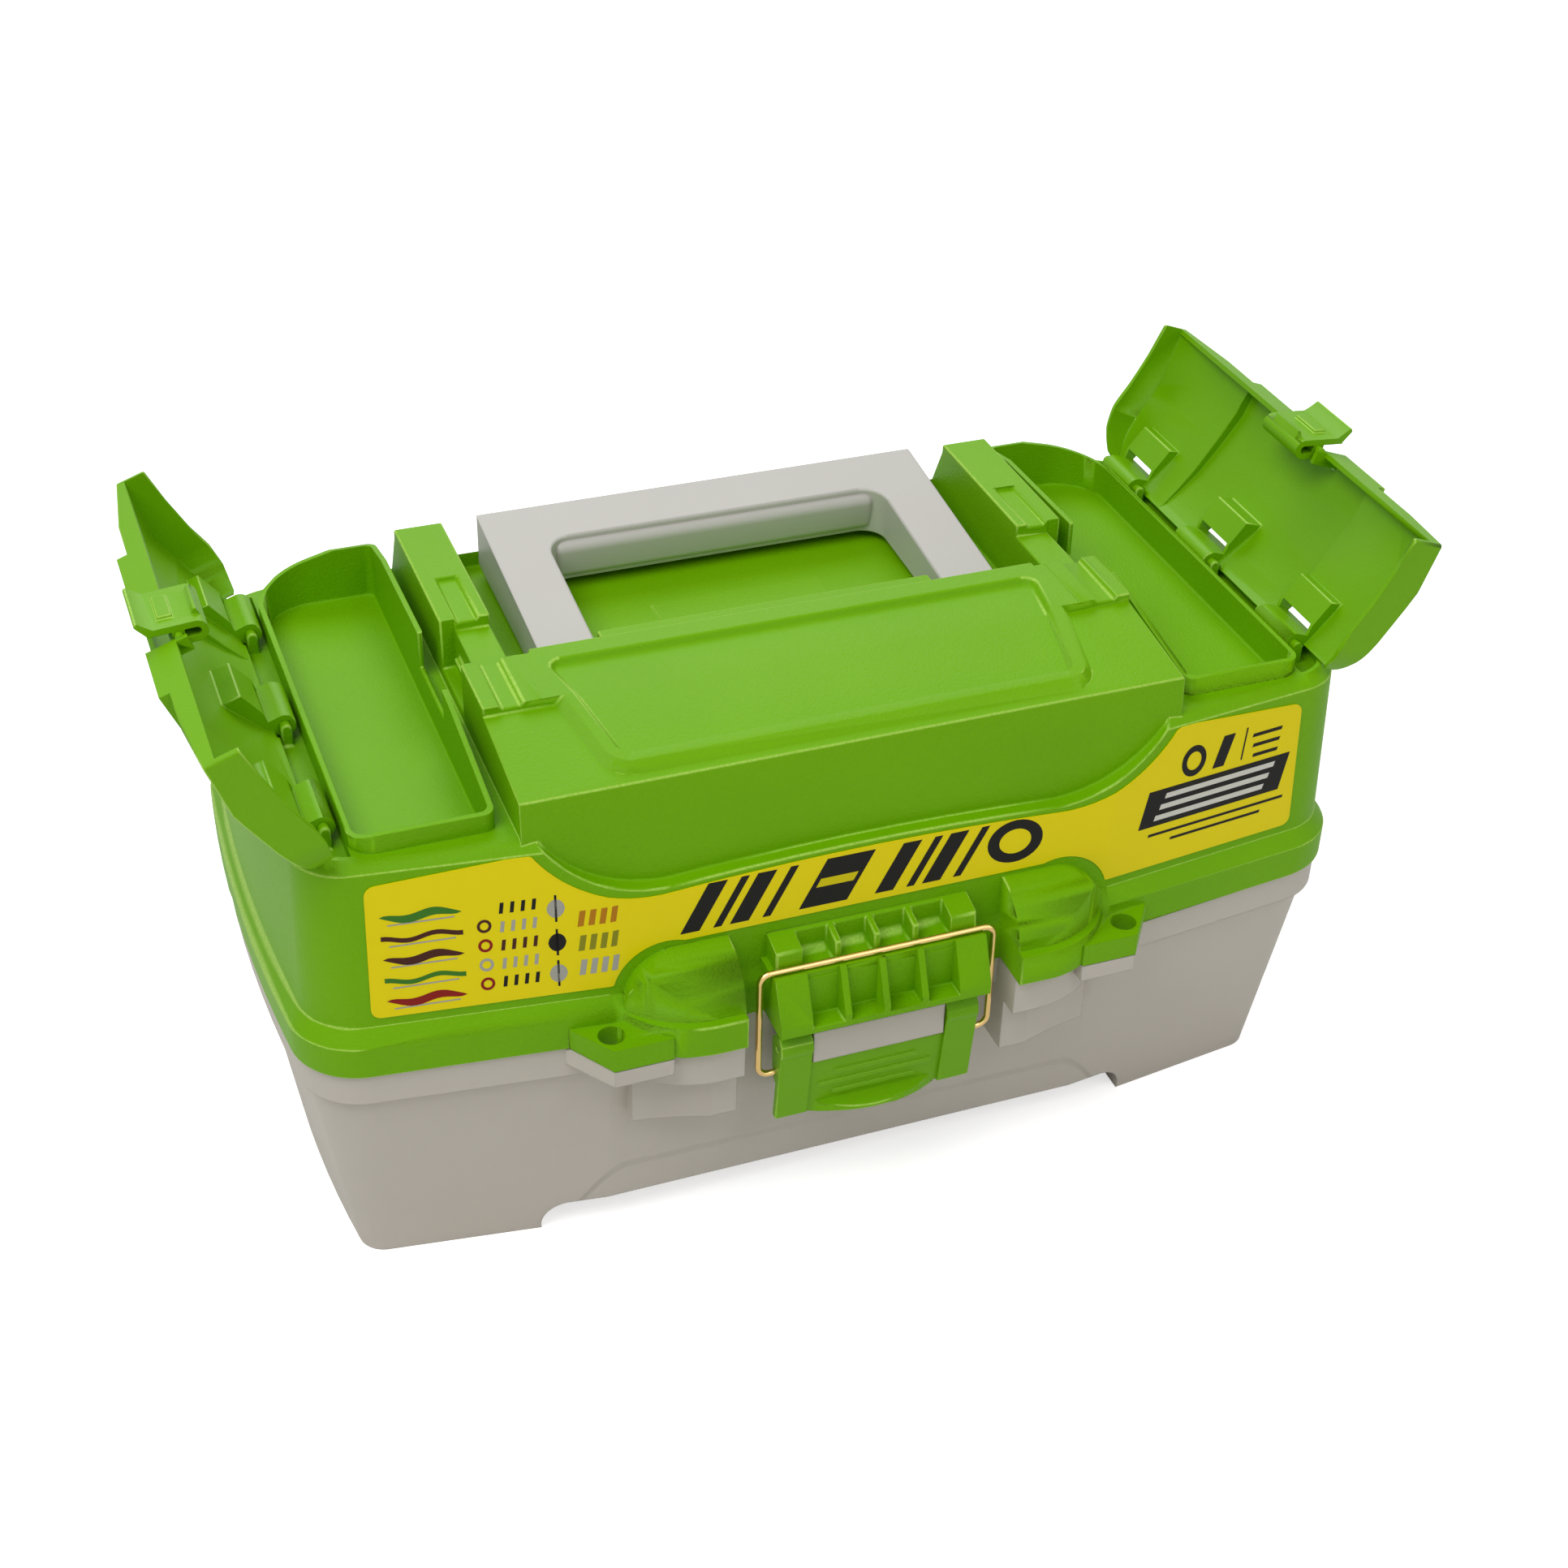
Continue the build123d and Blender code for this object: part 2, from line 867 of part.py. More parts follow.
def lid_shell():
    """The upper half with its deck, well, pockets and hinge parts."""
    body = levels(
        (0, lid_low),
        (0, skirt_top),
        (apron_foot_inset, apron_foot),
        (apron_top_inset, apron_top),
        (ledge_inset, ledge_z),
    )
    body -= swoop_air(0, face_top_y)
    body += side_prism(deck_outline(0), -deck_half, deck_half)
    body += both(flat_box(post_inner - wall, deck_half, post_line, deck_back, ledge_z - wall, deck_z))
    body += flat_box(
        -deck_half, deck_half, post_line, well_front + wall, ledge_z, min(deck_z, surface_z + panel_rise)
    )
    body += panel_front_part(-panel_slope / 3, -panel_rise / 3, panel_slope) & flat_box(
        -deck_half, deck_half, skirt_front, post_line, ledge_z, deck_z
    )
    body += both(pocket_block(0, pocket_floor - thin_wall) & pocket_rim())

    inner = levels(
        (wall, lid_low - reach),
        (wall, skirt_top),
        (apron_foot_inset + wall, apron_foot),
        (apron_top_inset + wall, apron_top),
        (ledge_inset + wall, ledge_z - wall),
    )
    inner -= swoop_air(wall, face_low_y + wall)
    inner += side_prism(deck_outline(wall), -deck_half + wall, deck_half - wall)
    inner -= both(pocket_block(0, pocket_floor - thin_wall))
    inner -= flat_box(
        -well_half - wall,
        well_half + wall,
        well_front - wall,
        half_length,
        well_floor - wall,
        deck_z + reach,
    )
    inner -= both(hinge_trench(wall))
    pit_low = clip_y - clip_pit_half
    pit_high = clip_y + clip_pit_half
    inner -= both(
        flat_box(
            clip_pit_x - wall,
            deck_half,
            pit_low - wall,
            pit_high + wall,
            clip_pit_floor - wall,
            saddle_z + reach,
        )
    )
    body -= inner
    body -= both(pocket_block(thin_wall, pocket_floor))
    body -= flat_box(-well_half, well_half, well_front, well_back, well_floor, deck_z + reach)
    body -= both(hinge_trench(0))
    body -= both(
        flat_box(
            post_inner - wall - reach,
            deck_half + reach / 4,
            saddle_front,
            saddle_back,
            saddle_z,
            deck_z + reach,
        )
    )
    body -= both(
        flat_box(clip_pit_x, deck_half + reach / 4, pit_low, pit_high, clip_pit_floor, deck_z + reach)
    )
    body += both(
        flat_box(
            clip_pit_x - wall / 2,
            clip_pit_x + clip_catch_reach,
            clip_y - clip_barb_half,
            clip_y + clip_barb_half,
            clip_catch_low,
            clip_catch_high,
        )
    )
    body -= both(
        flat_box(
            pocket_inner - reach / 4,
            pocket_inner + thin_wall + reach / 8,
            clip_y - clip_wall_gap,
            clip_y + clip_wall_gap,
            clip_wall_low,
            deck_z,
        )
    )
    body -= both(post_channel(post_line - reach, saddle_front + reach))
    body -= both(post_channel(saddle_back - reach, channel_back))
    body -= panel_front_part(
        panel_rim + recess_slope, panel_rise - panel_sink, panel_rim - recess_slope / 2
    )
    body -= recess_rear_part()

    step = flat_box(-step_half, step_half, well_front - wall, step_back, well_floor - wall, step_z)
    step -= flat_box(
        -step_half + handle_pin_depth + wall,
        step_half - handle_pin_depth - wall,
        well_front - 2 * wall,
        step_back - wall,
        well_floor - reach,
        step_z - wall,
    )
    body += step
    body += flat_box(
        -pad_half, pad_half, step_back - wall, pad_back, well_floor - wall, well_floor + pad_rise
    )
    body -= both(rod_x(handle_pin, step_half - handle_pin_depth, step_half, handle_axis_y, handle_axis_z))

    body += both(bulge_dome())
    body += both(ear(lid_low, ear_top))
    body += keeper()
    body -= levels(
        (apron_foot_inset + wall, lid_low - reach),
        (apron_foot_inset + wall, apron_foot),
        (apron_top_inset + wall, swoop_low_z - 3 * wall),
    )
    body -= both(ear_bore())
    body += both(lid_rods())

    body += both(hinge_knuckles(1, hinge_radius, 0.0))
    for index in range(1, hinge_places, 2):
        low = hinge_start + index * hinge_knuckle
        web = flat_box(low, low + hinge_knuckle - hinge_gap, skirt_rear - wall, hinge_y, lid_low, hinge_web)
        body += both(web)
    body -= both(hinge_knuckles(0, hinge_radius + hinge_round, hinge_gap))
    body -= both(rod_x(hinge_pin, hinge_start - reach, hinge_end + reach, hinge_y, hinge_z))
    boss = rod_x(boss_radius, tray_half + side_gap, half_length, lid_pivot[0], lid_pivot[1])
    boss &= levels((wall / 2, lid_low - 3 * boss_radius), (wall / 2, skirt_top))
    body += both(boss)
    body -= both(rod_x(rivet, tray_half, tray_half + rivet_depth, lid_pivot[0], lid_pivot[1]))
    return body


def lid_section(raised, step):
    """The closed (x, z) outline of a side lid's roof, drawn in by step."""
    width = lid_edge - lid_free
    low = lid_axis_z - 2 * reach
    points = [(lid_free + step, low)]
    for share, drop, rise in lid_roof[:-1]:
        points.append(
            (lid_free + share * width + (step if share == 0 else 0), lid_top - drop + rise * raised - step)
        )
    share, drop, rise = lid_roof[-1]
    points.append((lid_free + share * width - 0.6 * step, lid_top - drop - 0.8 * step))
    points.append((points[-1][0], low))
    return points


def lid_under():
    """The air under the rim of a closed side lid."""
    width = lid_edge - lid_free
    low = lid_axis_z - 3 * reach
    points = [
        (lid_edge + reach, low),
        (lid_edge + reach, lid_top - lid_roof[-1][1] - 0.01),
        (lid_edge, lid_top - lid_roof[-1][1]),
    ]
    for share, drop in lid_rim:
        points.append((lid_free + share * width, lid_top - drop))
    points.append((lid_free - reach, lid_top - lid_rim[-1][1]))
    points.append((lid_free - reach, low))
    return front_prism(points, lid_front - reach, lid_back + reach)


def lid_space(step):
    """What a closed side lid fills down to its rim, drawn in by step."""
    low = lid_axis_z - 2 * reach
    roof = front_prism(lid_section(0, step), lid_front - reach, lid_back + reach)
    roof &= side_prism(
        [
            (lid_front - reach, low),
            (lid_front - reach, lid_front_top - step),
            (lid_front, lid_front_top - step),
            (lid_front_fall, lid_top - step),
            (lid_rear_fall, lid_top - step),
            (lid_back, lid_rear_top - step),
            (lid_back + reach, lid_rear_top - step),
            (lid_back + reach, low),
        ],
        lid_free - reach,
        lid_edge + reach,
    )
    roof += front_prism(lid_section(lid_raise, step), lid_raise_front + step, lid_raise_back - step)
    inner_radius = max(lid_free_radius - step, lid_free_radius / 4)
    plan_block = rounded(
        lid_free + step,
        lid_edge,
        lid_front + step,
        lid_back - step,
        low,
        lid_top + lid_raise + reach,
        (inner_radius, lid_front_radius - step, lid_rear_radius - step, inner_radius),
    )
    return roof & plan_block


def side_lid_closed():
    """The right side lid, closed."""
    body = lid_space(0) - lid_space(lid_wall)
    body -= lid_under()
    body -= flat_box(
        lid_free - reach,
        lid_free + lid_wall + thin_wall / 4,
        lid_front + lid_wall,
        lid_back - lid_wall,
        lid_axis_z - 3 * reach,
        flange_low,
    )
    cheek_low = clip_y - clip_notch_half - clip_cheek
    cheek_high = clip_y + clip_notch_half + clip_cheek
    cheek = flat_box(
        lid_free,
        lid_free + 2 * clip_cheek + clip_bar,
        cheek_low,
        cheek_high,
        clip_cheek_low,
        lid_top + lid_raise - lid_wall / 2,
    )
    body += cheek
    body -= flat_box(
        lid_free - reach,
        lid_free + 2 * clip_cheek + 2 * clip_bar,
        clip_y - clip_notch_half,
        clip_y + clip_notch_half,
        lid_axis_z - 3 * reach,
        lid_top + lid_raise + reach,
    )
    body += rod_y(
        clip_bar,
        clip_y - clip_notch_half - clip_cheek / 2,
        clip_y + clip_notch_half + clip_cheek / 2,
        clip_x,
        clip_z,
    )
    trim = lid_axis_x - lid_over / 5
    body -= flat_box(trim, lid_edge + 1.0, lid_front - reach, lid_trim_front, lid_axis_z, lid_top)
    body -= flat_box(trim, lid_edge + 1.0, lid_trim_rear, lid_back + reach, lid_axis_z, lid_top)
    for index in (-1, 0, 1):
        middle = rod_middle + index * rod_spacing
        low = middle - rod_half + 0.5
        high = middle + rod_half - 0.5
        body -= rod_y(knuckle_radius, low - rod_post - 1.0, high + rod_post + 1.0, lid_axis_x, lid_axis_z)
        inner = lid_axis_x - knuckle_radius
        bracket = front_prism(
            [
                (inner, bracket_low),
                (inner - slot_width, bracket_low),
                (lid_axis_x - bracket_depth, bracket_low + bracket_step),
                (lid_axis_x - bracket_depth, lid_top),
                (inner, lid_top),
            ],
            low,
            high,
        )
        body += bracket & lid_space(0)
        body -= flat_box(
            inner - slot_gap - slot_width,
            inner - slot_gap,
            middle - slot_half,
            middle + slot_half,
            lid_axis_z,
            lid_top,
        )
        arm = front_prism(
            [
                (lid_axis_x - knuckle_radius, lid_axis_z),
                (lid_axis_x - knuckle_radius, lid_axis_z + 2 * knuckle_radius - 0.2),
                (lid_axis_x - knuckle_radius / 2, lid_axis_z + 2 * knuckle_radius - 1.2),
                (lid_axis_x + knuckle_radius / 3, lid_axis_z + knuckle_radius),
                (lid_axis_x, lid_axis_z),
            ],
            low,
            high,
        )
        body += (arm & lid_space(0)) + rod_y(knuckle_radius, low, high, lid_axis_x, lid_axis_z)
        body -= rod_y(rod_radius + rod_clearance, low - 1.0, high + 1.0, lid_axis_x, lid_axis_z)
    return body


def clip_closed():
    """The right lid clip, lid closed and clip latched."""
    low = clip_y - clip_half
    high = clip_y + clip_half
    leg_in = clip_back - clip_leg_thick
    plate_in = clip_front + clip_thick
    middle = (clip_front + clip_back) / 2
    outer = (clip_back - clip_front) / 2
    inner = (leg_in - plate_in) / 2
    body = flat_box(clip_front, plate_in, low, high, clip_loop_z, clip_plate_top)
    body += flat_box(leg_in, clip_back, low, high, clip_loop_z, clip_leg_top)
    body += flat_box(clip_front, clip_back, low, high, clip_z - clip_hub, clip_z + clip_hub)
    loop = rod_y(outer, low, high, middle, clip_loop_z) - rod_y(
        inner, low - 1.0, high + 1.0, (plate_in + leg_in) / 2, clip_loop_z
    )
    body += loop - flat_box(
        clip_front - reach, clip_back + reach, low - reach, high + reach, clip_loop_z, clip_plate_top
    )
    body += front_prism(
        [
            (clip_front, clip_plate_top - clip_thick),
            (clip_front - clip_lip_reach, clip_lip_top - 1.0),
            (clip_front - clip_lip_reach + 1.2, clip_lip_top),
            (plate_in - 0.6, clip_plate_top),
            (plate_in, clip_plate_top - clip_thick),
        ],
        low,
        high,
    )
    body += flat_box(
        clip_front - clip_block,
        clip_front,
        clip_y - clip_block_half,
        clip_y + clip_block_half,
        clip_block_low,
        clip_block_high,
    )
    body += front_prism(
        [
            (clip_front + 0.1, clip_barb_z + 2.0),
            (clip_front - clip_barb, clip_barb_z + 0.9),
            (clip_front - clip_barb, clip_barb_z),
            (clip_front + clip_thick + 0.4, clip_barb_z - 1.8),
            (clip_front + clip_thick + 0.4, clip_barb_z + 1.0),
        ],
        clip_y - clip_barb_half,
        clip_y + clip_barb_half,
    ) - rod_y(inner, low, high, (plate_in + leg_in) / 2, clip_loop_z)
    body -= rod_y(clip_bar + clip_clearance, low - 1.0, high + 1.0, clip_x, clip_z)
    return body


def turned(shape, x, z, degrees):
    """A shape turned about an axis along +Y through (x, z)."""
    return Pos(x, 0, z) * Rot(0, degrees, 0) * Pos(-x, 0, -z) * shape


def side_lid():
    """The right side lid as it rests, fully open."""
    return turned(side_lid_closed(), lid_axis_x, lid_axis_z, lid_open)


def lid_clip():
    """The right clip as it rests, unlatched on the open lid."""
    return turned(turned(clip_closed(), clip_x, clip_z, -clip_swing), lid_axis_x, lid_axis_z, lid_open)


def carry_handle():
    """The U handle lying back in the well."""
    tilt = (handle_far_z - handle_axis_z - handle_hub) / (handle_far - handle_axis_y)
    side = side_prism(
        [
            (handle_axis_y, handle_axis_z - handle_hub),
            (handle_far - handle_bend / 2, handle_low_z),
            (handle_far, handle_low_z + handle_bend / 2),
            (handle_far, handle_far_z - handle_edge),
            (handle_far - handle_edge, handle_far_z),
            (handle_axis_y, handle_axis_z + handle_hub),
        ],
        -handle_half,
        handle_half,
    )
    side += rod_x(handle_hub, -handle_half, handle_half, handle_axis_y, handle_axis_z)
    outline = rounded(
        -handle_half,
        handle_half,
        handle_axis_y - handle_hub - 1.0,
        handle_far,
        ledge_z - reach,
        deck_z,
        (0.5, 0.5, handle_bend, handle_bend),
    )
    body = side & outline
    body -= rounded(
        -handle_inner,
        handle_inner,
        handle_axis_y - 2 * handle_hub,
        handle_grip_y,
        ledge_z - reach,
        deck_z,
        (0.5, 0.5, handle_inner_bend, handle_inner_bend),
    )
    top_at = handle_axis_z + handle_hub + tilt * (handle_grip_y - handle_axis_y) - handle_skin
    body -= flat_box(
        -handle_inner,
        handle_inner,
        handle_grip_y + handle_skin,
        handle_far - handle_skin,
        ledge_z - reach,
        top_at,
    )
    return body - both(
        rod_x(handle_pin + handle_pin_clearance, 0, handle_half - handle_skin, handle_axis_y, handle_axis_z)
    )


def handle_pivot_pins():
    """The two stub pins, each with a collar that fills the side gap."""
    pin = rod_x(
        handle_pin,
        step_half - handle_pin_depth,
        handle_half - 2 * handle_skin,
        handle_axis_y,
        handle_axis_z,
    )
    pin += rod_x(handle_collar, step_half, handle_inner - handle_side_gap, handle_axis_y, handle_axis_z)
    return both(pin)


def latch_lever():
    """The lever: two side bars with hubs, a plate with grip ribs, and a curved thumb lip."""
    bar_in = lever_half - lever_bar
    slope = (lever_front_low - lever_front_top) / (lever_top - lever_chin - lever_low)

    def front_at(z):
        return lever_front_low - slope * (z - lever_low)

    plate = side_prism(
        [
            (front_at(window_low) + plate_inset, window_low),
            (lever_front_low + plate_inset, lever_low),
            (lever_front_low + lever_plate, lever_low),
            (front_at(window_low) + lever_plate, window_low),
        ],
        -bar_in,
        bar_in,
    )
    bars = side_prism(
        [
            (lever_front_top, lever_top - lever_chin),
            (lever_front_low, lever_low),
            (lever_front_low + lever_plate, lever_low),
            (lever_front_top + lever_plate, lever_top - lever_chin),
        ],
        bar_in,
        lever_half,
    )
    cheek = side_prism(
        [
            (lever_front_top, lever_top - lever_chin),
            (bail_y - cheek_eye, bail_z - 1.4 * cheek_eye),
            (bail_y - cheek_eye / 3, bail_z - 2 * cheek_eye),
            (bail_y + cheek_eye / 3, bail_z - 1.7 * cheek_eye),
            (bail_y + cheek_eye, bail_z),
            (lever_y + 0.76 * lever_hub, lever_z),
            (lever_y + 0.32 * lever_hub, lever_z + 0.76 * lever_hub),
            (lever_y - 0.32 * lever_hub, lever_z + 0.9 * lever_hub),
        ],
        bar_in,
        lever_half,
    )
    body = plate + both(bars) + both(cheek) + both(
        rod_x(0.77 * lever_hub, bar_in, lever_half, lever_y, lever_z)
    )
    for index, half in enumerate(grip_halves):
        z = grip_low + index * grip_pitch
        rib = flat_box(
            -half,
            half,
            front_at(z) + plate_inset - grip_rise,
            front_at(z) + plate_inset + 1.0,
            z,
            z + grip_width,
        )
        body += rib
    lip = side_prism(
        [
            (lever_front_low + plate_inset, lever_low + lip_height),
            (lever_front_low - lip_reach, lever_low + lip_drop),
            (lever_front_low - lip_reach, lever_low),
            (lever_front_low + lever_plate, lever_low - lip_drop),
            (lever_front_low + lever_plate, lever_low + lip_height),
        ],
        -lip_half,
        lip_half,
    )
    curve = lip_half * lip_half / (2 * lip_curve)
    lip &= Pos(0, lever_front_low - lip_reach + curve, lever_low) * Cylinder(curve, 4 * lip_height)
    body += lip
    body -= rod_x(lever_pin + pin_clearance, -lever_half - 1.0, lever_half + 1.0, lever_y, lever_z)
    body -= both(
        rod_x(bail_wire + pin_clearance, lever_half - bail_peg - 0.4, lever_half + 1.0, bail_y, bail_z)
    )
    return body


def latch_bail():
    """The bent wire that hooks over the keeper."""
    start = lever_half - bail_peg
    path = FilletPolyline(
        [
            (start, bail_y, bail_z),
            (bail_half, bail_y, bail_z),
            (bail_half, bar_y, bar_z),
            (-bail_half, bar_y, bar_z),
            (-bail_half, bail_y, bail_z),
            (-start, bail_y, bail_z),
        ],
        radius=bail_bend,
    )
    section = Plane(origin=(start, bail_y, bail_z), z_dir=(1, 0, 0)) * Circle(bail_wire)
    return sweep(section, path=path)


def latch_lever_pin():
    """The pin through the lever and the catch."""
    return rod_x(lever_pin, -lever_half + 0.6, lever_half - 0.6, lever_y, lever_z)


def hinge_pin_right():
    """The right pin of the main hinge."""
    return rod_x(hinge_pin - pin_clearance, hinge_start + 0.4, hinge_end - 0.8, hinge_y, hinge_z)


def label_face():
    """The (x, z) outline of the label, as a prism along Y."""
    dome_half = bulge_outer + label_dome
    dome_z = bulge_top + label_dome
    dome_turn = bulge_turn_x - bulge_dome_round
    low = label_low
    side = swoop_half + label_margin
    top = apron_top - label_top_gap
    shoulder = side + label_shoulder
    end = label_half - label_lean
    face = make_face(
        [
            Line((dome_half, 0, low), (label_half, 0, low)),
            Line((label_half, 0, low), (end, 0, label_end_z)),
            Line((end, 0, label_end_z), (shoulder, 0, top)),
            Line((shoulder, 0, top), (side, 0, top)),
            ThreePointArc(
                (side, 0, top),
                (swoop_turn_half + label_margin, 0, swoop_turn_z - 1.6 * label_margin),
                (swoop_low_half, 0, swoop_low_z - label_margin),
            ),
            ThreePointArc(
                (swoop_low_half, 0, swoop_low_z - label_margin),
                (0, 0, swoop_mid_z - label_margin),
                (-swoop_low_half, 0, swoop_low_z - label_margin),
            ),
            ThreePointArc(
                (-swoop_low_half, 0, swoop_low_z - label_margin),
                (-swoop_turn_half - label_margin, 0, swoop_turn_z - 1.6 * label_margin),
                (-side, 0, top),
            ),
            Line((-side, 0, top), (-shoulder, 0, top)),
            Line((-shoulder, 0, top), (-end, 0, label_end_z)),
            Line((-end, 0, label_end_z), (-label_half, 0, low)),
            Line((-label_half, 0, low), (-dome_half, 0, low)),
            ThreePointArc(
                (-dome_half, 0, low),
                (-dome_turn - 0.78 * (dome_half - dome_turn), 0, low + 0.7 * (dome_z - low)),
                (-dome_turn, 0, dome_z),
            ),
            Line((-dome_turn, 0, dome_z), (dome_turn, 0, dome_z)),
            ThreePointArc(
                (dome_turn, 0, dome_z),
                (dome_turn + 0.78 * (dome_half - dome_turn), 0, low + 0.7 * (dome_z - low)),
                (dome_half, 0, low),
            ),
        ]
    )
    return Pos(0, -half_length, 0) * extrude(face, amount=half_length, dir=(0, 1, 0))


def front_label():
    """The label, a thin skin over the front of the lid."""
    skin = levels(
        (apron_foot_inset - label_off - label_thick, apron_foot),
        (apron_top_inset - label_off - label_thick, apron_top),
    )
    skin -= levels(
        (apron_foot_inset - label_off, apron_foot - 0.001), (apron_top_inset - label_off, apron_top + 0.001)
    )
    return skin & label_face()


def cantilever_tray():
    """The tray with its front lugs and rear ears."""
    body = rounded(-tray_half, tray_half, tray_front, tray_rear, tray_low, tray_top, (tray_corner,) * 4)
    body -= rounded(
        -tray_half + tray_wall,
        tray_half - tray_wall,
        tray_front + tray_wall,
        tray_rear - tray_wall,
        tray_low + tray_wall,
        tray_top + 1.0,
        (tray_corner - tray_wall,) * 4,
    )
    pitch = 2 * tray_half / (divider_count + 1)
    for index in range(divider_count):
        x = -tray_half + (index + 1) * pitch
        half = divider_thick / 2 + divider_gap
        for y, reach_in in ((tray_front + tray_wall, 1.0), (tray_rear - tray_wall, -1.0)):
            for side in (-1, 1):
                x_low = min(x + side * half, x + side * (half + divider_rib))
                y_low = min(y, y + reach_in * 2 * divider_rib)
                body += flat_box(
                    x_low,
                    x_low + divider_rib,
                    y_low,
                    y_low + 2 * divider_rib,
                    tray_low + tray_wall / 2,
                    tray_top - divider_drop,
                )
    for y, z, length in ((tray_pivot[0], tray_pivot[1], boss_length), (lid_pivot[0], lid_pivot[1], 0.0)):
        lug = rod_x(boss_radius, tray_half - tray_wall, tray_half + length, y, z)
        lug += flat_box(
            tray_half - tray_wall, tray_half, y - boss_radius, y + boss_radius, tray_top - reach, z
        )
        if y < 0:
            lug += rod_x(boss_radius, tray_half - 2 * tray_wall, tray_half, y, z)
        body += both(lug)
    body -= both(rod_x(rivet, tray_half - 2 * tray_wall, tray_half + reach, *tray_pivot))
    body -= both(rod_x(rivet + pin_clearance, tray_half - 3 * tray_wall, tray_half + reach, *lid_pivot))
    return body


def tray_dividers():
    """The removable cross walls of the tray."""
    pitch = 2 * tray_half / (divider_count + 1)
    out = []
    for index in range(divider_count):
        x = -tray_half + (index + 1) * pitch
        out.append(
            flat_box(
                x - divider_thick / 2,
                x + divider_thick / 2,
                tray_front + tray_wall + divider_gap,
                tray_rear - tray_wall - divider_gap,
                tray_low + tray_wall,
                tray_top - divider_drop,
            )
        )
    return out


def tray_link():
    """The right link between the tub and the front of the tray."""
    start = (link_y, link_z)
    end = tray_pivot
    run = math.hypot(end[0] - start[0], end[1] - start[1])
    angle = math.degrees(math.atan2(end[1] - start[1], end[0] - start[0]))
    bar = Pos(link_in + link_thick / 2, (start[0] + end[0]) / 2, (start[1] + end[1]) / 2)
    bar = bar * Rot(angle, 0, 0) * Box(link_thick, run, link_width)
    bar += rod_x(link_end, link_in, link_out, *start)
    bar += rod_x(link_end, link_in, link_out, *end)
    bar -= rod_x(rivet + pin_clearance, link_in - 1.0, link_out + 1.0, *start)
    return bar - rod_x(rivet + link_play, link_in - 1.0, link_out + 1.0, *end)


def link_base_rivets():
    """Rivets that hold the links to the tub."""
    head = link_in - rivet_gap
    pin = rod_x(rivet, head, link_out + rivet_depth, link_y, link_z)
    return both(pin + rod_x(rivet_head, head - rivet_head_thick, head, link_y, link_z))


def link_tray_rivets():
    """Rivets that hold the links to the tray."""
    head = link_out + rivet_gap
    pin = rod_x(rivet, tray_half - 2 * tray_wall, head, *tray_pivot)
    return both(pin + rod_x(rivet_head, head, head + rivet_head_thick, *tray_pivot))


def lid_tray_rivets():
    """Rivets that hold the tray ears to the lid."""
    head = tray_half - tray_wall - rivet_gap
    pin = rod_x(rivet, head, tray_half + rivet_depth, *lid_pivot)
    return both(pin + rod_x(rivet_head, head - rivet_head_thick, head, *lid_pivot))


def save(name, shape):
    """Write one node."""
    solids = list(shape) if isinstance(shape, (list, tuple)) else list(shape.solids())
    whole = solids[0] if len(solids) == 1 else Compound(children=solids)
    export_step(whole, os.path.join("parts", name + ".step"))


os.makedirs("parts", exist_ok=True)
save("base_tub", base_tub())
save("lid_shell", lid_shell())
save("right_side_lid", side_lid())
save("left_side_lid", left(side_lid()))
save("right_lid_clip", lid_clip())
save("left_lid_clip", left(lid_clip()))
save("carry_handle", carry_handle())
save("handle_pivot_pins", handle_pivot_pins())
save("latch_lever", latch_lever())
save("latch_bail", latch_bail())
save("latch_lever_pin", latch_lever_pin())
save("hinge_pin_right", hinge_pin_right())
save("hinge_pin_left", left(hinge_pin_right()))
save("front_label", front_label())
save("cantilever_tray", cantilever_tray())
save("tray_dividers", tray_dividers())
save("tray_link_right", tray_link())
save("tray_link_left", left(tray_link()))
save("link_base_rivets", link_base_rivets())
save("link_tray_rivets", link_tray_rivets())
save("lid_tray_rivets", lid_tray_rivets())
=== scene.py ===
"""Looks of a moulded tackle box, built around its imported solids. Metres, +Z up."""

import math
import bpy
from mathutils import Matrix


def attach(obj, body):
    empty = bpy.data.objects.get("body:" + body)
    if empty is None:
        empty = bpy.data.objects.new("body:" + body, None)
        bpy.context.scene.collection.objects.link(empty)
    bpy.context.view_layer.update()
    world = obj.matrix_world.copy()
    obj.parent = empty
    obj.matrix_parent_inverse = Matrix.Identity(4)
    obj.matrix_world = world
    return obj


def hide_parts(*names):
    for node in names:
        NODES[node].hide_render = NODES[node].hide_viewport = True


bl_info = {
    "name": "Tackle box",
    "version": (1, 0, 0),
    "blender": (4, 5, 0),
    "location": "View3D > Sidebar > Tackle box",
    "description": "Dresses the solids of a moulded tackle box with rounded edges, details and finishes",
    "category": "Object",
}

import bpy
from mathutils import Matrix, Vector
from mathutils.bvhtree import BVHTree
from mathutils.kdtree import KDTree

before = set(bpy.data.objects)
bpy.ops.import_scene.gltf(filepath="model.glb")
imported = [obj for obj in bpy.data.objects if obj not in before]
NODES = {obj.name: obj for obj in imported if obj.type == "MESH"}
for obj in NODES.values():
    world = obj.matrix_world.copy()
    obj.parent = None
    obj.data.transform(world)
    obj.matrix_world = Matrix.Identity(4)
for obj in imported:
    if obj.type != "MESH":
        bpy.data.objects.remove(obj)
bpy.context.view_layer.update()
MM = 0.001

# the second colour of each pair is painted on outward roundings: partly wear, partly a painted highlight
GREEN_SHADE, GREEN_WEAR_HIGHLIGHT = "#6DAB00", "#C8EE70"
GREY_SHADE, GREY_WEAR_HIGHLIGHT = "#C4BDB1", "#D8D3CA"
HANDLE_SHADE, HANDLE_WEAR_HIGHLIGHT = "#BBB8B1", "#D6D4CE"
STEEL = "#9A9A98"

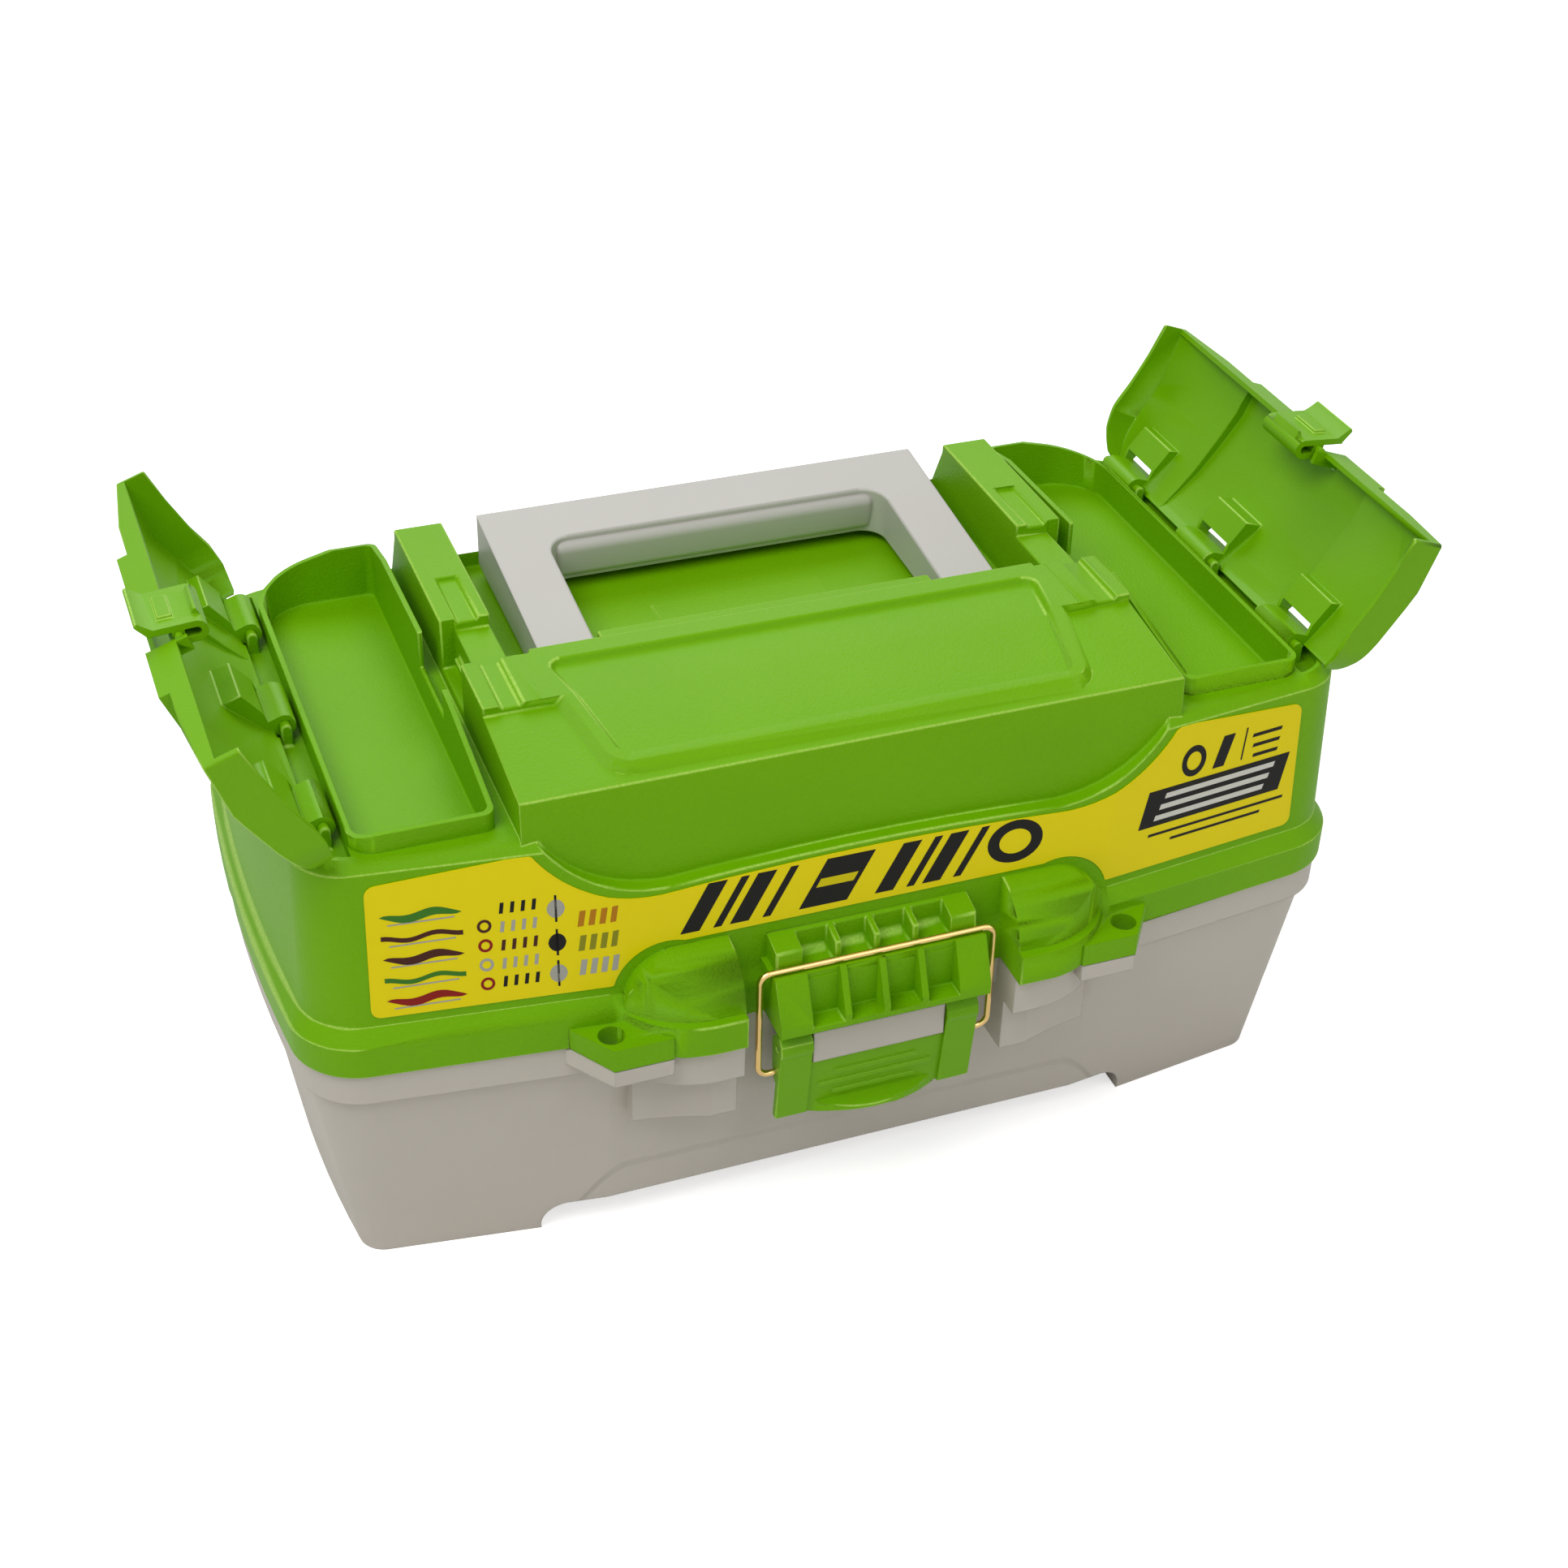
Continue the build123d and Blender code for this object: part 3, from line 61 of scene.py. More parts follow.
FLAT_ANGLE = math.radians(0.6)  # faces closer than this are taken as one flat
SHARP_ANGLE = math.radians(24)  # edges sharper than this are rounded
SMOOTH_ANGLE = math.radians(38)  # edges blunter than this are shaded as one surface
CAD_SMOOTH_ANGLE = math.radians(30)  # the same, for a CAD node that stays as it is
LEAST_ROUNDING = 0.1 * MM  # anything narrower is left as it is

PRINT_START_Y = -135 * MM  # the print is made here, then laid back on the label
LABEL_FRONT_Y = -120 * MM  # nothing laid on the label stays in front of this

INKS = {
    "Black ink": "#1C1B18",
    "Green ink": "#3C7A22",
    "Brown ink": "#4A241A",
    "Red ink": "#8E1C14",
    "Grey ink": "#A9A79C",
    "Orange ink": "#B97A12",
    "Olive ink": "#8C8A1C",
    "Pale ink": "#D9D7CC",
    "Yellow ink": "#D8C800",
}


class TackleSizes(bpy.types.PropertyGroup):
    """Sizes that a user would change."""

    shell_edge: bpy.props.FloatProperty(
        name="Shell edge radius",
        description="Rounding of the lid's moulded edges",
        default=0.9 * MM,
        unit="LENGTH",
    )
    shoulder: bpy.props.FloatProperty(
        name="Shoulder radius",
        description="Rounding of the lid's long outer lines",
        default=3.2 * MM,
        unit="LENGTH",
    )
    small_edge: bpy.props.FloatProperty(
        name="Small edge radius",
        description="Rounding of small moulded parts",
        default=0.6 * MM,
        unit="LENGTH",
    )
    handle_edge: bpy.props.FloatProperty(
        name="Handle edge radius",
        description="Rounding of the handle's edges",
        default=1.1 * MM,
        unit="LENGTH",
    )
    roll_edge: bpy.props.FloatProperty(
        name="Finger roll radius",
        description="Rounding of the roll under the fingers",
        default=3.375 * MM,
        unit="LENGTH",
    )
    grain: bpy.props.FloatProperty(
        name="Moulded grain",
        description="Width of one grain of the surface",
        default=1.1 * MM,
        unit="LENGTH",
    )


class TackleColours(bpy.types.PropertyGroup):
    """Colours as sRGB hex text."""

    green: bpy.props.StringProperty(
        name="Lid green", description="Lime polypropylene", default="#79B700"
    )
    grey: bpy.props.StringProperty(
        name="Tub grey", description="Warm pale grey polypropylene", default="#CCC5BA"
    )
    handle: bpy.props.StringProperty(
        name="Handle grey", description="Paler grey of the handle", default="#C1BFB8"
    )
    yellow: bpy.props.StringProperty(
        name="Label yellow", description="Ground of the label", default="#EEDB00"
    )
    brass: bpy.props.StringProperty(name="Wire", description="Yellow metal wire", default="#F0CC86")


def linear(hex_text):
    """An sRGB hex colour as linear RGBA."""
    parts = [int(hex_text[i : i + 2], 16) / 255 for i in (1, 3, 5)]
    return [p / 12.92 if p <= 0.04045 else ((p + 0.055) / 1.055) ** 2.4 for p in parts] + [1.0]


def node(tree, kind, place, settings=None, links=None):
    """Adds a shader node with its settings and the links into its sockets."""
    made = tree.nodes.new(kind)
    made.location = place
    for key, value in (settings or {}).items():
        if isinstance(key, str) and hasattr(made, key):
            setattr(made, key, value)
        else:
            made.inputs[key].default_value = value
    for key, source in (links or {}).items():
        tree.links.new(source, made.inputs[key])
    return made


def new_material(name):
    """An empty node material with its output."""
    material = bpy.data.materials.new(name)
    material.use_nodes = True
    tree = material.node_tree
    tree.nodes.clear()
    return material, tree, node(tree, "ShaderNodeOutputMaterial", (900, 0))


def moulded_polypropylene(name, colour, shade, wear_highlight, roughness, gloss, grain, bump, soft_edge, fold=False):
    """Injection-moulded polypropylene: a waxy, even colour with a fine spark-eroded grain, painted paler
    on outward roundings, partly as wear and partly as a painted highlight. The grain is drawn about
    twice as coarse as the real 0.5 mm so that it shows.
    The edges look soft over soft_edge, and fold adds the tub's pressed arch."""
    material, tree, out = new_material(name)
    place = node(tree, "ShaderNodeTexCoord", (-1300, 0)).outputs["Object"]
    cloud = node(tree, "ShaderNodeTexNoise", (-1000, 250), {"Scale": 14.0, "Detail": 2.0}, {"Vector": place})
    tone = node(
        tree,
        "ShaderNodeMix",
        (-700, 250),
        {"data_type": "RGBA", 6: linear(colour), 7: linear(shade)},
        {0: cloud.outputs["Fac"]},
    )
    speck = node(
        tree,
        "ShaderNodeTexNoise",
        (-1000, -150),
        {"Scale": 1.0 / grain, "Detail": 3.0, "Roughness": 0.6},
        {"Vector": place},
    )
    soft = node(tree, "ShaderNodeBevel", (-1000, -400), {"samples": 4, "Radius": soft_edge})
    # outward roundings, painted paler with the grain's speckle: partly wear, partly a painted highlight
    wear_and_highlight = node(tree, "ShaderNodeAttribute", (-600, -450), {"attribute_name": "wear_and_highlight"})
    patchy = node(
        tree,
        "ShaderNodeMath",
        (-400, -350),
        {"operation": "MULTIPLY"},
        {0: wear_and_highlight.outputs["Fac"], 1: speck.outputs["Fac"]},
    )
    worn_and_highlit = node(
        tree,
        "ShaderNodeMix",
        (-200, 250),
        {"data_type": "RGBA", 7: linear(wear_highlight)},
        {0: patchy.outputs[0], 6: tone.outputs[2]},
    )
    normal = soft.outputs["Normal"]
    if fold:
        normal = pressed_fold(tree, place, normal)
    height = node(
        tree,
        "ShaderNodeBump",
        (-250, -200),
        {"Strength": bump, "Distance": grain * 0.25},
        {"Height": speck.outputs["Fac"], "Normal": normal},
    )
    sheen = node(
        tree,
        "ShaderNodeMapRange",
        (-500, -20),
        {"To Min": roughness - 0.05, "To Max": roughness + 0.06},
        {"Value": speck.outputs["Fac"]},
    )
    skin = node(
        tree,
        "ShaderNodeBsdfPrincipled",
        (300, 0),
        {"IOR": 1.49, "Specular IOR Level": gloss},
        {"Base Color": worn_and_highlit.outputs[2], "Roughness": sheen.outputs[0], "Normal": height.outputs["Normal"]},
    )
    tree.links.new(skin.outputs[0], out.inputs[0])
    return material


def pressed_fold(tree, place, normal):
    """The shallow arch pressed into the tub's front and back: flat on top, running down to the feet."""
    arch_top = 29 * MM
    arch_flat_half = 88 * MM
    arch_foot_half = 122 * MM
    arch_end = -4 * MM
    arch_soft = 2.5 * MM
    arch_depth = 1.0 * MM
    parts = node(tree, "ShaderNodeSeparateXYZ", (-1300, -800), {}, {0: place})
    side = node(tree, "ShaderNodeMath", (-1100, -800), {"operation": "ABSOLUTE"}, {0: parts.outputs["X"]})
    drop = node(
        tree,
        "ShaderNodeMapRange",
        (-900, -800),
        {
            "interpolation_type": "SMOOTHSTEP",
            "From Min": arch_flat_half,
            "From Max": arch_foot_half,
            "To Min": arch_top,
            "To Max": arch_end,
        },
        {"Value": side.outputs[0]},
    )
    over = node(
        tree,
        "ShaderNodeMath",
        (-700, -800),
        {"operation": "SUBTRACT"},
        {0: parts.outputs["Z"], 1: drop.outputs[0]},
    )
    step = node(
        tree,
        "ShaderNodeMapRange",
        (-500, -800),
        {"interpolation_type": "SMOOTHSTEP", "From Min": -arch_soft, "From Max": arch_soft},
        {"Value": over.outputs[0]},
    )
    pressed = node(
        tree,
        "ShaderNodeBump",
        (-400, -600),
        {"Strength": 1.0, "Distance": arch_depth},
        {"Height": step.outputs[0], "Normal": normal},
    )
    return pressed.outputs["Normal"]


def drawn_wire(name, colour):
    """Brass-plated drawn wire: bright yellow metal with faint lengthwise scratches."""
    material, tree, out = new_material(name)
    place = node(tree, "ShaderNodeTexCoord", (-900, 0)).outputs["Object"]
    scratch = node(tree, "ShaderNodeTexNoise", (-700, 0), {"Scale": 120.0, "Detail": 2.0}, {"Vector": place})
    rough = node(
        tree,
        "ShaderNodeMapRange",
        (-400, 0),
        {"To Min": 0.16, "To Max": 0.24},
        {"Value": scratch.outputs["Fac"]},
    )
    skin = node(
        tree,
        "ShaderNodeBsdfPrincipled",
        (300, 0),
        {"Base Color": linear(colour), "Metallic": 1.0},
        {"Roughness": rough.outputs[0]},
    )
    tree.links.new(skin.outputs[0], out.inputs[0])
    return material


def plain_steel(name, colour):
    """Zinc-plated steel: grey metal with a soft blotchy shine."""
    material, tree, out = new_material(name)
    place = node(tree, "ShaderNodeTexCoord", (-900, 0)).outputs["Object"]
    blotch = node(tree, "ShaderNodeTexNoise", (-700, 0), {"Scale": 300.0, "Detail": 3.0}, {"Vector": place})
    rough = node(
        tree,
        "ShaderNodeMapRange",
        (-400, 0),
        {"To Min": 0.25, "To Max": 0.45},
        {"Value": blotch.outputs["Fac"]},
    )
    skin = node(
        tree,
        "ShaderNodeBsdfPrincipled",
        (300, 0),
        {"Base Color": linear(colour), "Metallic": 1.0},
        {"Roughness": rough.outputs[0]},
    )
    tree.links.new(skin.outputs[0], out.inputs[0])
    return material


def printed_film(name, colour):
    """Printed vinyl film: a smooth, slightly glossy ground with a faint orange-peel ripple."""
    material, tree, out = new_material(name)
    place = node(tree, "ShaderNodeTexCoord", (-900, 0)).outputs["Object"]
    peel = node(tree, "ShaderNodeTexNoise", (-700, -100), {"Scale": 220.0, "Detail": 2.0}, {"Vector": place})
    height = node(
        tree,
        "ShaderNodeBump",
        (-300, -200),
        {"Strength": 0.08, "Distance": 0.3 * MM},
        {"Height": peel.outputs["Fac"]},
    )
    skin = node(
        tree,
        "ShaderNodeBsdfPrincipled",
        (300, 0),
        {"Base Color": linear(colour), "Roughness": 0.3, "IOR": 1.5, "Specular IOR Level": 0.15},
        {"Normal": height.outputs["Normal"]},
    )
    tree.links.new(skin.outputs[0], out.inputs[0])
    return material


def finish_of(name):
    """The finish called name, made once."""
    made = bpy.data.materials.get(name)
    if made:
        return made
    colours = bpy.context.scene.tackle_colours
    grain = bpy.context.scene.tackle_sizes.grain
    makers = {
        "Green polypropylene": lambda: moulded_polypropylene(
            name, colours.green, GREEN_SHADE, GREEN_WEAR_HIGHLIGHT, 0.42, 0.13, grain, 0.9, 0.6 * MM
        ),
        "Green small mouldings": lambda: moulded_polypropylene(
            name, colours.green, GREEN_SHADE, GREEN_WEAR_HIGHLIGHT, 0.38, 0.18, grain, 0.4, 0.3 * MM
        ),
        "Grey polypropylene": lambda: moulded_polypropylene(
            name, colours.grey, GREY_SHADE, GREY_WEAR_HIGHLIGHT, 0.45, 0.25, grain, 0.25, 1.0 * MM
        ),
        "Tub polypropylene": lambda: moulded_polypropylene(
            name, colours.grey, GREY_SHADE, GREY_WEAR_HIGHLIGHT, 0.45, 0.25, grain, 0.25, 1.0 * MM, fold=True
        ),
        "Handle polypropylene": lambda: moulded_polypropylene(
            name, colours.handle, HANDLE_SHADE, HANDLE_WEAR_HIGHLIGHT, 0.40, 0.3, grain, 0.15, 0.8 * MM
        ),
        "Brass wire": lambda: drawn_wire(name, colours.brass),
        "Zinc-plated steel": lambda: plain_steel(name, STEEL),
        "Yellow film": lambda: printed_film(name, colours.yellow),
    }
    for ink, colour in INKS.items():
        makers[ink] = lambda colour=colour: printed_film(name, colour)
    return makers[name]()


def wear(obj, name):
    """Gives a piece one finish."""
    obj.data.materials.clear()
    obj.data.materials.append(finish_of(name))


def only(obj):
    """Selects one object and makes it active."""
    bpy.ops.object.select_all(action="DESELECT")
    obj.select_set(True)
    bpy.context.view_layer.objects.active = obj


def edge_room(mesh, sharp, wish):
    """The widest rounding that each sharp edge can take before it meets the next one: wish, unless a
    neighbour is too near. Of the way to a neighbour, the rounding takes no more than these shares."""
    share_of_sharp = 0.45
    share_of_face = 0.42
    straight_on = -0.9985
    least_turn = 0.05
    points = [vertex.co.copy() for vertex in mesh.vertices]
    meeting = {}
    for edge in mesh.edges:
        for vertex in edge.vertices:
            meeting.setdefault(vertex, []).append(edge)
    room = {}
    for edge in mesh.edges:
        if edge.index not in sharp:
            continue
        start, end = edge.vertices
        width = wish((points[start] + points[end]) / (2 * MM), (points[end] - points[start]).normalized())
        for here, there in ((start, end), (end, start)):
            along = (points[there] - points[here]).normalized()
            for other in meeting[here]:
                if other.index == edge.index:
                    continue
                away = points[sum(other.vertices) - here] - points[here]
                length = away.length
                straight = along.dot(away / length)
                across = along.cross(away / length).length
                if other.index in sharp and straight < 0:
                    half_turn = math.sqrt(max(1 + straight, 0) / (1 - straight))
                    width = min(width, share_of_sharp * length / max(half_turn, least_turn))
                elif straight > straight_on:
                    width = min(width, share_of_face * length * across)
        room[edge.index] = width
    return room


def sharp_edges(mesh, angle):
    """The edges where two faces meet at more than the angle."""
    sides = {}
    for face in mesh.polygons:
        for key in face.edge_keys:
            sides.setdefault(key, []).append(face.normal)
    return {
        edge.index
        for edge in mesh.edges
        if len(sides.get(edge.key, ())) == 2 and sides[edge.key][0].angle(sides[edge.key][1], 0.0) > angle
    }


def evened(mesh, weights):
    """Lets the rounding grow only gradually along a line of edges."""
    growth = 1.5
    same_line = -0.8
    points = [vertex.co.copy() for vertex in mesh.vertices]
    meeting = {}
    for edge in mesh.edges:
        if weights[edge.index].value > 0:
            for vertex in edge.vertices:
                meeting.setdefault(vertex, []).append(edge)
    for _ in range(3):
        wanted = {}
        for vertex, edges in meeting.items():
            for edge in edges:
                along = (points[sum(edge.vertices) - vertex] - points[vertex]).normalized()
                for other in edges:
                    if other.index == edge.index:
                        continue
                    away = (points[sum(other.vertices) - vertex] - points[vertex]).normalized()
                    if along.dot(away) < same_line:
                        most = growth * weights[other.index].value
                        wanted[edge.index] = min(wanted.get(edge.index, most), most)
        for index, most in wanted.items():
            weights[index].value = min(weights[index].value, most)


def rough_spots(mesh, tree, reach):
    """Places where the rounding left the surface that it started from, or turned it over."""
    least_area = 0.01 * MM * MM
    on_surface = 0.06 * MM
    same_way = 0.1
    spots = []
    away = [tree.find_nearest(vertex.co)[3] > reach for vertex in mesh.vertices]
    for edge in mesh.edges:
        one, two = edge.vertices
        if away[one] != away[two]:
            spots.append(mesh.vertices[two if away[one] else one].co.copy())
    mesh.calc_loop_triangles()
    for triangle in mesh.loop_triangles:
        if triangle.area < least_area:
            continue
        corners = [mesh.vertices[index].co for index in triangle.vertices]
        normal = (corners[1] - corners[0]).cross(corners[2] - corners[0]).normalized()
        middle = sum(corners, Vector()) / 3
        _, facing, _, distance = tree.find_nearest(middle)
        if facing.dot(normal) > same_way:
            continue
        others = tree.find_nearest_range(middle, reach) if distance > on_surface else []
        if not any(other[1].dot(normal) > same_way for other in others):
            spots.extend(corner.copy() for corner in corners)
    return spots


def mark_wear_and_highlight(mesh):
    """Notes the middle of each outward rounding, which is painted paler: partly wear, partly a painted
    highlight.
    """
    faces = {}
    for face in mesh.polygons:
        for vertex in face.vertices:
            faces.setdefault(vertex, []).append(face)
    wear_and_highlight = mesh.attributes.new("wear_and_highlight", "FLOAT", "POINT")
    for vertex in mesh.vertices:
        around = faces.get(vertex.index, ())
        if around and all(face.material_index == 1 for face in around):
            middle = sum((face.center for face in around), Vector()) / len(around)
            if (middle - vertex.co).dot(vertex.normal) < 0:
                wear_and_highlight.data[vertex.index].value = 1.0
    for face in mesh.polygons:
        face.material_index = 0


def eased(obj, tree, widest):
    """Takes rounding back where it would spoil the surface, and returns the rounded mesh. The first
    attempts make it narrower there, the later ones leave it out, each over a wider place."""
    attempts = 7
    narrowing_attempts = 2
    narrower = 0.4
    first_reach = 1.5 * MM
    furthest_move = 0.75 * widest + LEAST_ROUNDING
    weights = obj.data.attributes["bevel_weight_edge"].data
    places = KDTree(len(obj.data.vertices))
    for vertex in obj.data.vertices:
        places.insert(vertex.co, vertex.index)
    places.balance()
    touching = {}
    for edge in obj.data.edges:
        for vertex in edge.vertices:
            touching.setdefault(vertex, []).append(edge.index)
    for attempt in range(attempts):
        bpy.context.view_layer.update()
        made = bpy.data.meshes.new_from_object(obj.evaluated_get(bpy.context.evaluated_depsgraph_get()))
        spots = rough_spots(made, tree, furthest_move)
        if not spots:
            break
        near = set()
        for spot in spots:
            nearest = places.find(spot)[1]
            near.update(touching[nearest])
            for _, index, _ in places.find_range(spot, first_reach + attempt * MM):
                near.update(touching[index])
        for index in near:
            value = weights[index].value * (narrower if attempt < narrowing_attempts else 0.0)
            weights[index].value = value if value * widest > LEAST_ROUNDING else 0.0
        evened(obj.data, weights)
    print(obj.name, "rounded after", attempt, "corrections,", len(spots), "rough spots left")
    return made


def with_plain_flats(mesh, domed):
    """Joins the active object's corners and merges the triangles of each flat, but not where it is domed."""
    same_corner = 0.01 * MM
    bpy.ops.object.mode_set(mode="EDIT")
    bpy.ops.mesh.select_all(action="SELECT")
    bpy.ops.mesh.remove_doubles(threshold=same_corner)
    if domed:
        bpy.ops.mesh.select_mode(type="FACE")
        bpy.ops.object.mode_set(mode="OBJECT")
        for face in mesh.polygons:
            face.select = not domed(face.center / MM)
        bpy.ops.object.mode_set(mode="EDIT")
    bpy.ops.mesh.dissolve_limited(angle_limit=FLAT_ANGLE)
    bpy.ops.object.mode_set(mode="OBJECT")


def shaded(obj, domed):
    """Keeps flats flat in the shading and blends the roundings and domed places."""
    bpy.ops.object.shade_smooth_by_angle(angle=SMOOTH_ANGLE)
    flat = obj.modifiers.new("flat", "WEIGHTED_NORMAL")
    flat.keep_sharp = True
    flat.mode = "FACE_AREA_WITH_ANGLE"
    if domed:
        vertices = obj.data.vertices
        for edge in obj.data.edges:
            if edge.use_edge_sharp and all(domed(vertices[index].co / MM) for index in edge.vertices):
                edge.use_edge_sharp = False
        group = obj.vertex_groups.new(name="flats")
        group.add([vertex.index for vertex in vertices if not domed(vertex.co / MM)], 1.0, "REPLACE")
        flat.vertex_group = "flats"
    bpy.ops.object.modifier_apply(modifier="flat")


def even(width):
    """The wish for one rounding everywhere."""
    return lambda at, along: width


def rounded_copy(source, name, wish, body, finish, segments=3, domed=None):
    """A copy of a CAD node with its moulded edges rounded, standing for that node. wish gives the
    rounding wanted for an edge from its place in mm and its direction, and domed says which places
    are one curved surface."""
    mesh = NODES[source].data.copy()
    obj = bpy.data.objects.new(name, mesh)
    bpy.context.scene.collection.objects.link(obj)
    only(obj)
    with_plain_flats(mesh, domed)
    tree = BVHTree.FromPolygons(
        [vertex.co for vertex in mesh.vertices], [list(face.vertices) for face in mesh.polygons]
    )
    room = edge_room(mesh, sharp_edges(mesh, SHARP_ANGLE), wish)
    widest = max(room.values())
    weights = mesh.attributes.new("bevel_weight_edge", "FLOAT", "EDGE")
    for index, width in room.items():
        weights.data[index].value = width / widest if width > LEAST_ROUNDING else 0.0
    evened(mesh, weights.data)
    mesh.materials.clear()
    for _ in range(2):
        mesh.materials.append(finish_of(finish))
    bevel = obj.modifiers.new("edge", "BEVEL")
    bevel.material = 1  # the roundings get the second slot, so that the paler painted wear and highlight can be laid on the outward ones
    bevel.width = widest
    bevel.segments = segments
    bevel.limit_method = "WEIGHT"
    bevel.use_clamp_overlap = False
    bevel.loop_slide = False
    bevel.miter_outer = "MITER_SHARP"
    rounded = eased(obj, tree, widest)
    obj.modifiers.clear()
    obj.data = rounded
    rounded.name = name
    mark_wear_and_highlight(rounded)
    shaded(obj, domed)
    wear(obj, finish)
    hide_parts(source)
    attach(obj, body)


def pale_floor():
    """A wide floor of seamless paper, which the camera sees a little brighter than it is lit."""
    bpy.ops.object.select_all(action="DESELECT")
    bpy.ops.mesh.primitive_plane_add(size=12.0, location=(0, 0, 0))
    floor = bpy.context.active_object
    floor.name = "stage_floor"
    material, tree, out = new_material("Seamless paper")
    ray = node(tree, "ShaderNodeLightPath", (-600, 200))
    paper = node(tree, "ShaderNodeBsdfDiffuse", (-300, 0), {"Color": linear("#F4F4F4")})
    white = node(tree, "ShaderNodeEmission", (-300, -200), {"Color": (1, 1, 1, 1), "Strength": 0.6})
    both = node(tree, "ShaderNodeAddShader", (-100, -250), {}, {0: paper.outputs[0], 1: white.outputs[0]})
    glow = node(
        tree,
        "ShaderNodeMixShader",
        (0, 0),
        {},
        {0: ray.outputs["Is Camera Ray"], 1: paper.outputs[0], 2: both.outputs[0]},
    )
    tree.links.new(glow.outputs[0], out.inputs[0])
    floor.data.materials.append(material)


def white_surroundings(scene):
    """White behind the object and in its reflections, and a dim even light on everything."""
    world = bpy.data.worlds.new("Studio")
    scene.world = world
    world.use_nodes = True
    tree = world.node_tree
    tree.nodes.clear()
    out = node(tree, "ShaderNodeOutputWorld", (600, 0))
    ray = node(tree, "ShaderNodeLightPath", (-600, 200))
    direct = node(
        tree,
        "ShaderNodeMath",
        (-450, 200),
        {"operation": "MAXIMUM"},
        {0: ray.outputs["Is Camera Ray"], 1: ray.outputs["Is Transmission Ray"]},
    )
    seen = node(
        tree,
        "ShaderNodeMath",
        (-300, 200),
        {"operation": "MAXIMUM"},
        {0: direct.outputs[0], 1: ray.outputs["Is Glossy Ray"]},
    )
    dim = node(tree, "ShaderNodeBackground", (-100, 0), {"Color": (1, 1, 1, 1), "Strength": 0.28})
    bright = node(tree, "ShaderNodeBackground", (-100, -200), {"Color": (1, 1, 1, 1), "Strength": 1.0})
    mix = node(
        tree,
        "ShaderNodeMixShader",
        (200, 0),
        {},
        {0: seen.outputs[0], 1: dim.outputs[0], 2: bright.outputs[0]},
    )
    tree.links.new(mix.outputs[0], out.inputs[0])


def soft_lamp(name, place, aim, size, power):
    """A round area lamp at a place, turned to its aim."""
    bpy.ops.object.select_all(action="DESELECT")
    bpy.ops.object.light_add(type="AREA", location=place)
    lamp = bpy.context.active_object
    lamp.name = "lamp_" + name
    lamp.data.shape = "DISK"
    lamp.data.size = size
    lamp.data.energy = power
    lamp.rotation_euler = (Vector(aim) - Vector(place)).to_track_quat("-Z", "Y").to_euler()


def photograph_camera(scene):
    """The camera at the photograph's viewing angle, solved from measured points of the box."""
    azimuth, elevation, roll = (math.radians(angle) for angle in (-21.346, 34.881, 1.556))
    origin_seen = Vector((-9.279, -95.932, -1028.771)) * MM
    origin = Vector((0, 8, 0)) * MM
    flat = math.cos(elevation)
    back = Vector((math.sin(azimuth) * flat, -math.cos(azimuth) * flat, math.sin(elevation)))
    level = Vector((0, 0, 1)).cross(back).normalized()
    rise = back.cross(level)
    right = level * math.cos(roll) + rise * math.sin(roll)
    up = -level * math.sin(roll) + rise * math.cos(roll)
    turn = Matrix((right, up, back)).transposed()
    camera = bpy.data.objects.new("camera", bpy.data.cameras.new("camera"))
    scene.collection.objects.link(camera)
    camera.data.lens = 57.002
    camera.data.sensor_width = 36.0
    camera.matrix_world = Matrix.Translation(origin - turn @ origin_seen) @ turn.to_4x4()
    scene.camera = camera


class TACKLE_OT_finishes(bpy.types.Operator):
    """Gives every CAD node a finish, also those that a rounded copy replaces later"""

    bl_idname = "tackle.finishes"
    bl_label = "Finishes"

    def execute(self, context):
        kinds = {
            "base_tub": "Tub polypropylene",
            "lid_shell": "Green polypropylene",
            "left_side_lid": "Green polypropylene",
            "right_side_lid": "Green polypropylene",
            "left_lid_clip": "Green polypropylene",
            "right_lid_clip": "Green polypropylene",
            "carry_handle": "Handle polypropylene",
            "handle_pivot_pins": "Handle polypropylene",
            "latch_lever": "Green polypropylene",
            "latch_bail": "Brass wire",
            "front_label": "Yellow film",
            "cantilever_tray": "Grey polypropylene",
            "tray_dividers": "Grey polypropylene",
        }
        for name, obj in NODES.items():
            wear(obj, kinds.get(name, "Zinc-plated steel"))
            only(obj)
            bpy.ops.object.shade_smooth_by_angle(angle=CAD_SMOOTH_ANGLE)
        return {"FINISHED"}


class TACKLE_OT_stage(bpy.types.Operator):
    """Floor, soft studio lamps and the camera"""

    bl_idname = "tackle.stage"
    bl_label = "Stage"

    def execute(self, context):
        context.scene.view_settings.view_transform = "Standard"
        pale_floor()
        white_surroundings(context.scene)
        for lamp in (
            ("key", (-0.9, -0.5, 1.7), (0, 0, 0.1), 1.2, 17.0),
            ("fill", (1.3, -1.2, 0.9), (0, 0, 0.1), 1.4, 2.5),
            ("front", (0.35, -1.1, 1.35), (0, -0.1, 0.1), 0.6, 2.6),
            ("back", (0.3, 1.3, 1.5), (0, 0, 0.15), 1.4, 13.0),
        ):
            soft_lamp(*lamp)
        photograph_camera(context.scene)
        return {"FINISHED"}


